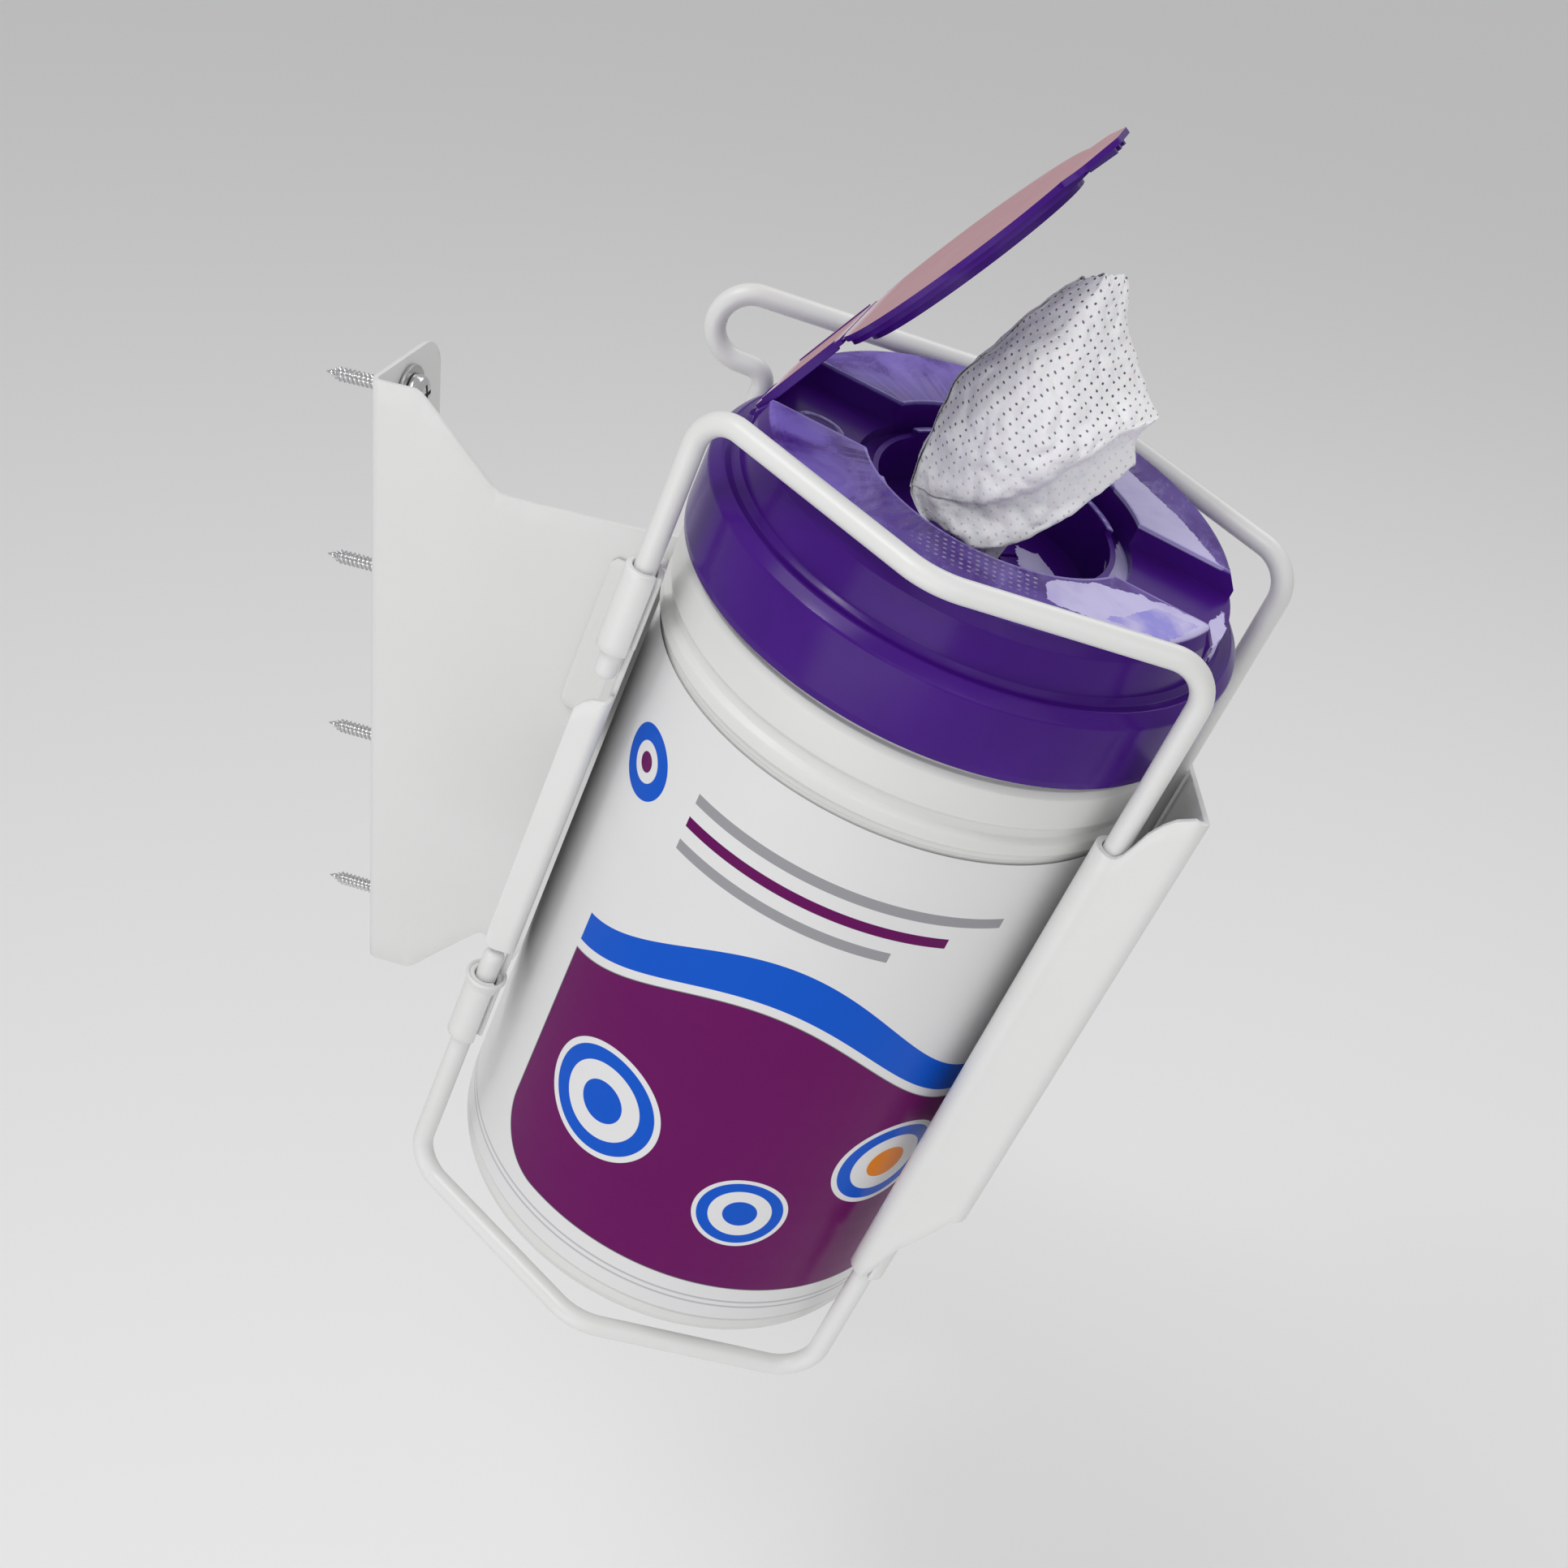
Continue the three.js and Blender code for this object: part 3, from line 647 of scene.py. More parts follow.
def flap_face_material(name, far):
    """The flap's outer face: faded mauve, with a fine grain and rubbed edges."""
    m = Mat(name, "loc")
    cloud = m.noise(0.05, 4, 0.6)
    fine = m.noise(1.4, 4, 0.65)
    c = m.mix((0.42, 0.19, 0.23), (0.51, 0.265, 0.29), cloud)
    c = m.mix(c, (0.58, 0.42, 0.42), step(m.noise(0.5, 5, 0.7, stretch=(0.25, 1, 1)), 0.52, 0.75) * 0.5)
    # pale stress marks beside the hinge
    near = step(-m.x, -7.0, -1.0)
    if far:
        near = vmax(near, step(m.x, far - 6.0, far - 1.0))
    stress = near * step(m.noise(0.9, 3, 0.7, stretch=(0.12, 1, 1)), 0.36, 0.52)
    c = m.mix(c, (0.74, 0.66, 0.74), stress * 0.9)
    m.base(c)
    m.rough(0.36 + fine * 0.12)
    m.bump(fine, 0.02)
    return m.m


def cloth_material():
    """Soft non-woven cloth with small round holes in staggered rows. lab holds mm across and along the cloth."""
    m = Mat("wipe_cloth", "lab")
    h = 1.55
    row = V.op("FLOOR", m.y / h)
    shift = V.op("MODULO", row + 400.0, 2.0) * h
    gx = V.op("PINGPONG", m.x + shift, h)
    gy = h / 2 - V.op("PINGPONG", m.y, h / 2)
    d = V.op("SQRT", gx * gx + gy * gy)
    faint = m.noise(0.09, 3, 0.5, offset=12)
    hole = step(0.24 + faint * 0.1 - d, -0.07, 0.07)
    fibre = m.noise(2.4, 4, 0.7, stretch=(1, 0.3, 1))
    cloud = m.noise(0.06, 3, 0.5)
    c = m.mix((0.85, 0.845, 0.865), (0.90, 0.895, 0.905), fibre)
    c = m.mix(c, (0.80, 0.79, 0.86), cloud * 0.25)
    shown = vmin(1.0 - step(m.z, 0.40, 0.47) * 0.8, 1.0) + step(m.z, 0.60, 0.66) * 0.3
    c = m.mix(c, (0.075, 0.06, 0.11), hole * (0.40 + faint) * shown)
    m.base(c)
    m.rough(0.82)
    m.set(Sheen_Weight=0.25, Sheen_Roughness=0.5, Subsurface_Weight=0.15, Subsurface_Scale=0.002)
    m.bump(fibre, 0.07)
    m.bump(1.0 - hole * shown, 0.10)
    m.bump(m.noise(0.30, 5, 0.6, offset=8, distortion=0.4), 0.30)
    return m.m


def roll_material():
    m = Mat("roll_cloth")
    r = V.op("SQRT", m.x * m.x + m.y * m.y)
    turns = V.op("PINGPONG", r + m.noise(0.04, 2) * 2.0, 0.45) * 2.2
    c = m.mix((0.60, 0.60, 0.66), (0.78, 0.78, 0.83), turns)
    m.base(c)
    m.rough(0.9)
    m.bump(turns, 0.25)
    m.bump(m.noise(1.2, 4, 0.7), 0.1)
    return m.m


COAT, CHROME, ZINC = coat_material(), chrome_material(), zinc_material()
TUB, LABEL, LID = tub_material(), label_material(), lid_material()
LIDLOC, CLOTH, ROLL = lid_material("lid_plastic_flap", "loc"), cloth_material(), roll_material()
MAUVE, MAUVE_LINK = flap_face_material("flap_plastic", None), flap_face_material("flap_link_face", 28.2)


def finish_piece(ob, node, body, material, attr=True, angle=None):
    if angle:
        sharp(ob.data, angle)
    if attr:
        attribute(ob.data, "pya", to_tub(coords(ob.data)))
    if material is not None:
        ob.data.materials.clear()
        ob.data.materials.append(material)
    ob.name = node + "_look"
    ob.data.name = ob.name
    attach(ob, body)
    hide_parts(node)
    return ob


# ---------- bracket ----------
T = 1.6
BACK, FRONT, SIDE = 72.0, -46.2, 74.6
LEG_L, LEG_R, WIRE_Y = -62.9, 60.3, -42.5


def arc2(cx, cy, r, a0, a1, n):
    return [(cx + r * math.cos(math.radians(a0 + (a1 - a0) * k / n)), cy + r * math.sin(math.radians(a0 + (a1 - a0) * k / n))) for k in range(n + 1)]


def wall_xyz(x, y, z):
    """Part's frame in mm to the tub's frame."""
    dx, dz = x - AX[0], z - AX[2]
    return (dx * C - dz * S, y - AX[1], dx * S + dz * C)


def lerp_table(table, x):
    for (x0, v0), (x1, v1) in zip(table, table[1:]):
        if x <= x1:
            return v0 + (v1 - v0) * (x - x0) / (x1 - x0) if x1 > x0 else v1
    return table[-1][1]


cols = []
# flange: from its far edge, with rounded corners, to the fold
R = 10.0
for k in range(9):
    t = math.radians(90 * k / 8)
    y = 21.5 - R + R * math.cos(t)
    z = 103 - R + R * math.sin(t)
    cols.append((wall_xyz(0.8, y, -z), wall_xyz(0.8, y, z)))
for y in np.linspace(11.5, -17.8, 8)[1:]:
    cols.append((wall_xyz(0.8, y, -103), wall_xyz(0.8, y, 103)))
RB = 2.6
for x, y in arc2(0.8 + RB, -21.5 + RB, RB, 180, 270, 7)[1:]:
    cols.append((wall_xyz(x, y, -103), wall_xyz(x, y, 103)))
# back plate: lower and upper edge by distance from the wall, taken in pairs
pairs = [((7, -103), (7, 103)), ((12.5, -103), (12.5, 103)), ((14.6, -102.8), (14.6, 102.9)), ((16.4, -102.0), (16.4, 102.0)), ((18.4, -100.5), (18.4, 100.3)),
         ((29, -90.6), (29, 89.6)), ((38.6, -82.0), (38.6, 79.8)), ((40.4, -80.4), (40.4, 78.2)), ((41.6, -80.1), (41.8, 77.2)), ((43.2, -80.8), (43.6, 76.7)), ((45.4, -83.8), (46.5, 76.6)),
         ((47.0, -86.2), (50, 76.6)), ((49.5, -87.6), (54, 76.6)), ((52.9, -87.4), (60, 76.6)), ((66.2, -61.9), (74, 76.6)), ((88, -67.9), (90, 76.9)), ((121.7, -77.2), (121.7, 79.0)), ((160, -87.7), (168, 68.0)), ((195.4, -97.5), (215, 56.7))]
for (x0, z0), (x1, z1) in pairs:
    cols.append((wall_xyz(x0, -21.5, z0), wall_xyz(x1, -21.5, z1)))
for p, y in arc2(SIDE - RB, BACK - RB, RB, 90, 0, 7):
    cols.append(((p, y, 31.5 + (BACK - y) * 0.3), (p, y, 153.6 + (BACK - y) * 0.45)))
for y in np.linspace(BACK - RB, FRONT + RB, 14)[1:-1]:
    cols.append(((SIDE, y, 32 + (72 - y) * 0.331), (SIDE, y, 153.5 + (72 - y) * 0.457)))
for k, (p, y) in enumerate(arc2(SIDE - RB, FRONT + RB, RB, 0, -90, 7)):
    cols.append(((p, y, 71.0 - k * 0.25), (p, y, 206.4 + 0.12 * k)))
for p, lo, hi in ((70.5, 64.5, 206.2), (68.5, 60.5, 204.8), (66.5, 56.0, 202.2), (64.5, 52.5, 198.2), (63.2, 48.5, 193.4), (62.2, 44.0, 190.2), (61.2, 40.5, 188.8)):
    cols.append(((p, FRONT - 0.05 * 0, lo), (p, FRONT, hi)))
for k, (p, y) in enumerate(arc2(LEG_R, WIRE_Y, 3.9, -90, -90 - 342, 34)):
    if k == 0:
        p, y = LEG_R, WIRE_Y - 3.85
    cols.append(((p, y, 38.0), (p, y, 188.5)))
plate = column_sheet("bracket", cols, T, 26, 0.45)
ledge = column_sheet("ledge", [((-34, BACK, -1.15), (-34, 50, -1.15)), ((-30, BACK, -1.15), (-30, 46, -1.15)), ((30, BACK, -1.15), (30, 46, -1.15)), ((34, BACK, -1.15), (34, 50, -1.15))], T, 4, 0.45)
bracket = join("bracket_plate_all", [plate, ledge])
finish_piece(bracket, "bracket_plate", "root", COAT, angle=60)

# left guide: lip, slanted wall, two sleeves rolled from its tabs, foot
f0, b0 = np.array([-59.0, WIRE_Y]), np.array([-84.0, BACK - 0.8 - 0.35])
glen = float(np.linalg.norm(b0 - f0))
gdir = (b0 - f0) / glen


def gpt(d):
    q = f0 + gdir * d
    return (float(q[0]), float(q[1]))


cols = []
LY = WIRE_Y - 0.8
for p, lo, hi in ((-66.6, 77.4, 153.2), (-66.1, 75.2, 154.6), (-64.8, 74.0, 156.4), (-63.0, 74.2, 158.0), (-61.4, 74.7, 158.6)):
    cols.append(((p, LY, lo), (p, LY, hi)))
for k in range(6):
    t = k / 5
    q1, q2 = np.array([-60.6, LY]), np.array(gpt(2.2))
    mid = np.array([-59.2, LY + 0.1])
    q = (1 - t) ** 2 * q1 + 2 * t * (1 - t) * mid + t * t * q2
    cols.append(((q[0], q[1], 74.9 - t * 0.8), (q[0], q[1], 158.8 + t)))
top_t = [(0, 197), (3, 197), (8.5, 196.4), (10.0, 193), (20, 172), (glen - 16, 138), (glen - 1.5, 128), (glen, 127)]
low_t = [(0, 42.5), (7.5, 43.0), (9, 45.5), (16, 55), (glen - 14, 62), (glen - 1.5, 70), (glen, 71)]
walls = column_sheet("guide_lip", cols, T, 14, 0.45)
cols = []
for d in (2.6, 3.4, 5.5, 7.5, 8.5, 10, 14, 20, 30, 45, 60, 80, glen - 16, glen - 9, glen - 3.2):
    x, y = gpt(d)
    cols.append(((x, y, lerp_table(low_t, d)), (x, y, lerp_table(top_t, d))))
for k in range(1, 6):
    t = k / 5
    q1, q2, mid = np.array(gpt(glen - 3.2)), np.array([b0[0] - 3.2, b0[1] - 0.8]), np.array([b0[0], b0[1] - 0.8])
    q = (1 - t) ** 2 * q1 + 2 * t * (1 - t) * mid + t * t * q2
    cols.append(((q[0], q[1], 71.0 + t), (q[0], q[1], 127.5 - t)))
cols.append(((b0[0] - 10.5, b0[1] - 0.8, 72.2), (b0[0] - 10.5, b0[1] - 0.8, 126)))
cols.append(((b0[0] - 12, b0[1] - 0.8, 74), (b0[0] - 12, b0[1] - 0.8, 124)))
wall2 = column_sheet("guide_wall", cols, T, 22, 0.45)
parts = [walls, wall2]
for lo, hi in ((173.5, 197.0), (42.5, 64.5)):
    ring = []
    for k, (p, y) in enumerate(arc2(LEG_L, WIRE_Y, 3.9, -30, -30 - 338, 40)):
        # the tab's rolled end is a little short and slants, as a hand-rolled seam does
        cut = 1.6 * max(0.0, (k - 30) / 10) ** 2
        ring.append(((p, y, lo + cut), (p, y, hi - cut)))
    parts.append(column_sheet("sleeve", ring, T, 10, 0.5))
# the lower sleeve's mouth is flared a little, where the wire went in
collar = lathe("collar", fillet([(4.5, 60.6), (4.95, 62.6), (5.5, 64.1), (5.3, 64.9), (4.5, 64.6), (4.35, 62.0), (4.5, 60.6)], [0, 0.5, 0.25, 0.25, 0.25, 0.3, 0], 4)[:-1], 40)
co = coords(collar.data) + (np.array(tw(LEG_L, WIRE_Y, 0)) - np.array(tw(0, 0, 0))) * 0.001
collar.data.vertices.foreach_set("co", co.ravel())
collar.data.update()
parts.append(collar)
guide = join("left_guide_all", parts)
finish_piece(guide, "left_guide", "root", COAT, angle=60)

# ---------- wires ----------
MID = (LEG_L + LEG_R) / 2
top = rod("top_wire_rod", [(LEG_L, WIRE_Y, 165), (LEG_L, WIRE_Y, 240, 10), (MID, -66.5, 240, 18), (LEG_R, WIRE_Y, 240, 11), (LEG_R, WIRE_Y, 150)], 2.8)
finish_piece(top, "top_wire", "top_wire", COAT)
bottom = rod("bottom_wire_rod", [(LEG_L, WIRE_Y, 73), (LEG_L, WIRE_Y, -8.4, 10), (MID, -66.5, -8.4, 18), (LEG_R, WIRE_Y, -8.4, 11), (LEG_R, WIRE_Y, 78)], 2.8)
finish_piece(bottom, "bottom_wire", "bottom_wire", COAT)
RU, RY = 8.9, 37.6
rear = rod("rear_wire_rod", [(70.1, 38, 62), (70.1, 38, 233, 10), (0, 67.5, 233, 16), (-76 - RU, RY - 3.6, 233, RU), (-76 - RU, RY - 3.6, 215, RU), (-68.6, 38, 215, 4.5), (-68.6, 38, 62)], 2.8)
finish_piece(rear, "rear_wire", "root", COAT)

# ---------- wall screws and washers, drawn along A and turned to point at the wall ----------
def turned(ob, z):
    """From drawn upright, in mm, to lying along X at height z of the part's frame."""
    co = coords(ob.data) * 1000
    q = np.stack([co[:, 2], co[:, 1], -co[:, 0] + z], 1) * 0.001
    attribute(ob.data, "pya", co)
    ob.data.vertices.foreach_set("co", q.ravel())
    ob.data.update()
    return ob


def screw_mesh(h):
    n, rows = 40, []
    prof = []
    for k in range(0, 150):
        a = -25.6 + (27.0 + h - 2.0) * k / 149
        prof.append(a)
    for a in prof:
        taper = min(1.0, max(0.06, (a + 26.0) / 5.0))
        ring = []
        for k in range(n):
            t = 2 * math.pi * k / n
            ph = (a / 1.5 - k / n) % 1.0
            tooth = max(0.0, 1 - abs(ph - 0.5) * 4.2)
            fade = 1.0 if a < h - 3.2 else max(0.0, (h - a) / 3.2)
            r = (1.72 + 0.62 * tooth * fade) * taper
            ring.append((r * math.cos(t), r * math.sin(t), a))
        rows.append(ring)
    body = grid("thread", rows, closed_v=True, tub=False, caps=True)
    head = fillet([(0, h), (5.6, h), (5.6, h + 1.3), (4.9, h + 2.9), (3.4, h + 3.9), (0, h + 4.25)], [0, 0.25, 0.7, 1.6, 1.8, 0], 5)
    cap = lathe("head", head, 64, tub=False)
    cross = prism("cross", rect(-2.9, 2.9, -0.6, 0.6), h + 2.1, h + 6, tub=False)
    boolean(cap, cross, "DIFFERENCE")
    cross = prism("cross", rect(-0.6, 0.6, -2.9, 2.9), h + 2.1, h + 6, tub=False)
    boolean(cap, cross, "DIFFERENCE")
    bevel(cap, 0.15, 2, 40)
    applied(cap)
    return join("screw", [body, cap])


WASH = 1.6 + 0.35
for i, z in enumerate((92, 31, -31, -92)):
    s = turned(screw_mesh(WASH + 1.2 + 0.35), z)
    finish_piece(s, f"wall_screw_{i + 1}", "root", CHROME, attr=False, angle=50)
    w = lathe("washer", fillet([(2.95, WASH), (8.0, WASH), (8.0, WASH + 1.2), (2.95, WASH + 1.2), (2.95, WASH)], [0, 0.15, 0.35, 0.2, 0], 3)[:-1], 64, tub=False)
    finish_piece(turned(w, z), f"wall_washer_{i + 1}", "root", ZINC, attr=False, angle=50)

# ---------- tub ----------
TR = 63.8
profile = [(0, 1.6), (44, 1.6), (50, 0), (TR - 3.5, 0), (TR - 0.9, 0.9), (TR, 3.6), (TR, 6.2), (TR - 0.25, 6.6), (TR - 0.25, 176.6), (TR, 177.0), (TR, 178.2),
           (TR + 1.7, 179.6), (TR + 1.7, 182.8), (TR + 0.3, 184.2), (TR + 0.3, 186.6), (TR + 1.7, 188), (TR + 1.7, 196.6), (TR + 0.6, 198.2), (TR - 0.6, 198.4),
           (TR - 0.6, 212.6), (TR - 2.0, 212.6), (TR - 2.0, 197), (TR - 1.4, 195), (TR - 1.4, 4.5), (TR - 3.6, 2.8), (50, 3.0), (0, 3.0)]
radii = [0, 1.5, 1.0, 2.0, 1.0, 0.8, 0.2, 0.2, 0.2, 0.2, 0.5, 0.9, 0.9, 0.6, 0.6, 0.9, 0.9, 0.4, 0.3, 0.5, 0.5, 1, 1, 1, 1, 1, 0]
tub = lathe("tub", fillet(profile, radii, 4), 128, closed=False)
finish_piece(tub, "tub_body", "root", TUB, angle=60)

# label: a film wrapped round, its end lapped over its start at the back
rows, lab, NL = [], [], 220
for k in range(NL + 1):
    ph = 100.0 + 364.0 * k / NL
    lift = 0.22 * max(0.0, (k - (NL - 4)) / 4)
    r = 64.02 + 0.3 * 0 + lift
    t = math.radians(ph)
    for r2, a in ((r, 7.4), (r, 60.0), (r, 120.0), (r, 175.6)):
        pass
    rows.append([(r * math.cos(t), r * math.sin(t), a) for a in np.linspace(7.4, 175.6, 16)])
    s = (ph - 270.0) * math.pi / 180 * 64.2
    lab += [(s, 0.0, float(a)) for a in np.linspace(7.4, 175.6, 16)]
label = grid("label", rows)
fix_normals(label)
attribute(label.data, "lab", lab)
modify(label, "SOLIDIFY", thickness=0.0001, offset=1.0)
applied(label)
finish_piece(label, "tub_label", "root", LABEL, angle=60)

# ---------- lid ----------
SK, SKA, TOP = 66.8, 201.0, 235.0
outer = fillet([(0, SKA), (SK - 0.1, SKA), (SK + 0.15, 203), (SK, 218.4), (SK - 2.6, 221.2), (61.6, 220.5), (60.4, 222.0), (59.3, 231.0), (57.4, TOP), (0, TOP + 0.2)],
               [0, 0.3, 1, 1.6, 0.9, 0.9, 0.9, 1.2, 1.8, 0], 6)
lid = lathe("lid", outer, 160)
core = lathe("core", [(0, SKA - 2), (SK - 1.6, SKA - 2), (SK - 1.6, 218), (62.6, 219.2), (59.2, 219.2), (57.6, 230.4), (55.2, TOP - 1.6), (0, TOP - 1.6)], 96)
boolean(lid, core, "DIFFERENCE")
CW, CA, PR, PA, RR, RI, RA, WA = 15.0, 229.0, 34.8, 226.0, 30.6, 29.2, 230.5, 216.0
keep = lathe("keep", [(0, 210), (60.0, 210), (60.0, 231), (57.3, TOP - 0.1), (0, TOP - 0.1)], 160)
channel = prism("channel", rect(-64, 64, -CW - 1.6, CW + 1.6), CA - 1.6, TOP - 0.1)
boolean(channel, keep, "INTERSECT")
boolean(lid, channel, "UNION")
boolean(lid, prism("pocket", circle(PR + 1.6, 112), PA - 1.6, TOP - 0.1), "UNION")
boolean(lid, prism("well", circle(RR + 0.2, 112), WA - 1.6, PA), "UNION")
boolean(lid, prism("cut1", rect(-80, 80, -CW, CW), CA, TOP + 9), "DIFFERENCE")
hole = prism("cut2", circle(PR, 112), PA, TOP + 9)
ringm = lathe("ring", [(RI, PA - 1), (RR, PA - 1), (RR, RA), (RI, RA)], 112)
boolean(hole, ringm, "DIFFERENCE")
boolean(lid, hole, "DIFFERENCE")
boolean(lid, prism("cut3", circle(RI, 112), WA, TOP + 9), "DIFFERENCE")
boolean(lid, prism("mouth", circle(7.5, 48), WA - 5, WA + 2), "DIFFERENCE")
for d in (45, 135):
    c, s = math.cos(math.radians(d)), math.sin(math.radians(d))
    slit = [(u * c - v * s, u * s + v * c) for u, v in rect(-13, 13, -0.6, 0.6)]
    boolean(lid, prism("slit", slit, WA - 5, WA + 2), "DIFFERENCE")
bm = bmesh.new()
bm.from_mesh(lid.data)
bmesh.ops.dissolve_degenerate(bm, dist=2e-5, edges=bm.edges)
bmesh.ops.remove_doubles(bm, verts=bm.verts, dist=2e-5)
bm.to_mesh(lid.data)
bm.free()
bevel(lid, 0.45, 3, 42)
applied(lid)
# the small raised oval in the channel's floor, and the thin line of the hinge's root
oval = []
for k in range(48):
    t = 2 * math.pi * k / 48
    ring = []
    for j in range(8):
        u = 2 * math.pi * j / 8
        rr = 0.42 * math.cos(u)
        ring.append((-45 + (5.4 + rr) * math.cos(t), -3 + (3.4 + rr) * math.sin(t), CA + 0.42 * math.sin(u)))
    oval.append(ring)
oval = grid("oval", oval, closed_u=True, closed_v=True)
root_line = make("hinge_root", [(-59.6, -14.3, 228.6), (-57.4, -14.3, 228.6), (-57.4, 14.3, 228.6), (-59.6, 14.3, 228.6), (-59.2, -14.3, 230.0), (-58.2, -14.3, 230.0), (-58.2, 14.3, 230.0), (-59.2, 14.3, 230.0)],
                 [(0, 1, 2, 3), (4, 5, 6, 7), (0, 1, 5, 4), (1, 2, 6, 5), (2, 3, 7, 6), (3, 0, 4, 7)], smooth=False)
fix_normals(root_line)
bevel(root_line, 0.3, 2)
applied(root_line)
lid = join("lid_all", [lid, oval, root_line])
finish_piece(lid, "lid_cap", "root", LID, angle=50)

# ---------- flap and link: drawn shut along +P from their hinge, then turned open ----------
H1, LL, FL = (-58.5, 230.3), 28.2, 72.7
OPEN1, OPEN2 = math.radians(63.4), math.radians(60.8)
H2 = (H1[0] + LL * math.cos(OPEN1), H1[1] + LL * math.sin(OPEN1))


def opened(ob, angle, hinge):
    """From drawn flat, in mm, to its place in the part's frame."""
    co = coords(ob.data) * 1000
    attribute(ob.data, "loc", co)
    c, s = math.cos(angle), math.sin(angle)
    p, y, a = co[:, 0] * c - co[:, 2] * s + hinge[0], co[:, 1], co[:, 0] * s + co[:, 2] * c + hinge[1]
    ob.data.vertices.foreach_set("co", world(np.stack([p, y, a], 1)).ravel())
    ob.data.update()
    return ob


def face_colours(ob, first, second, heights, slack=0.12):
    """Faces that look up at one of the given heights take the second material."""
    co = coords(ob.data) * 1000
    ob.data.materials.clear()
    ob.data.materials.append(first)
    ob.data.materials.append(second)
    for poly in ob.data.polygons:
        z = min(co[v][2] for v in poly.vertices)
        poly.material_index = 1 if poly.normal.z > 0.9 and min(abs(z - h) for h in heights) < slack else 0


SW, t = 14.3, 0.7
link = prism("link", rect(0.65, LL - 0.65, -SW, SW), -t, t, tub=False)
for y0, y1 in ((-SW, -SW + 1.3), (SW - 1.3, SW)):
    boolean(link, prism("rail", rect(3, LL - 2.5, y0, y1), -t - 0.5, t + 0.35, tub=False), "UNION")
bevel(link, 0.3, 3, 40)
applied(link)
# the living hinges: thin webs that the link carries, one at each end
web = make("webs", [(x, y, z) for x, z in ((-0.75, -0.1), (0.9, -0.1), (0.9, 0.16), (-0.75, 0.16), (LL - 0.9, -0.1), (LL + 0.3, -0.1), (LL + 0.3, 0.16), (LL - 0.9, 0.16)) for y in (-SW + 0.4, SW - 0.4)],
           [(0, 2, 3, 1), (2, 4, 5, 3), (4, 6, 7, 5), (6, 0, 1, 7), (0, 6, 4, 2), (1, 3, 5, 7), (8, 10, 11, 9), (10, 12, 13, 11), (12, 14, 15, 13), (14, 8, 9, 15), (8, 14, 12, 10), (9, 11, 13, 15)], tub=False, smooth=False)
fix_normals(web)
web.data.materials.append(LIDLOC)
web.data.materials.append(MAUVE_LINK)
link = join("link_all", [link, web])
face_colours(link, LIDLOC, MAUVE_LINK, (t, t + 0.35, 0.16))
opened(link, OPEN1, H1)
finish_piece(link, "flap_link", "link", None, angle=50)

CX = 28.04 * 0 + 58.5 - LL * math.cos(math.radians(6))
outline = []
tip = fillet([(0.65, -SW), (FL - 7, -SW), (FL - 2.2, -SW + 6.5), (FL, -5), (FL, 5), (FL - 2.2, SW - 6.5), (FL - 7, SW), (0.65, SW)], [0, 4, 4, 3, 3, 4, 4, 0], 6)
flap = prism("flap", tip, -t, t, tub=False)
disc = prism("disc", circle(33.4, 144, CX, 0), -t, t, tub=False)
boolean(disc, prism("clip", rect(1.5, 200, -60, 60), -20, 20, tub=False), "INTERSECT")
boolean(flap, disc, "UNION")
for r0, r1, depth in ((31.5, 32.8, 1.3), (26.9, 28.3, 3.2)):
    rim = lathe("rim", [(r0, -t - depth), (r1, -t - depth), (r1, -t + 0.2), (r0, -t + 0.2)], 128, tub=False)
    co = coords(rim.data)
    co[:, 0] += CX * 0.001
    rim.data.vertices.foreach_set("co", co.ravel())
    rim.data.update()
    boolean(rim, prism("clear", rect(-20, 3, -60, 60), -20, t, tub=False), "DIFFERENCE")
    boolean(flap, rim, "UNION")
for y in (-4, 0, 4):
    boolean(flap, prism("rib", rect(FL - 9, FL - 2, y - 0.6, y + 0.6), -t - 1.4, -t + 0.1, tub=False), "UNION")
bevel(flap, 0.3, 3, 40)
applied(flap)
face_colours(flap, LIDLOC, MAUVE, (t,))
opened(flap, OPEN2, H2)
finish_piece(flap, "flap", "flap", None, angle=50)

# ---------- wipes ----------
roll = lathe("roll", fillet([(14, 5), (60, 5), (60, 183), (14, 183), (14, 5)], [0, 2, 2, 1, 0], 4)[:-1], 112)
finish_piece(roll, "wipe_roll", "root", ROLL, angle=60)

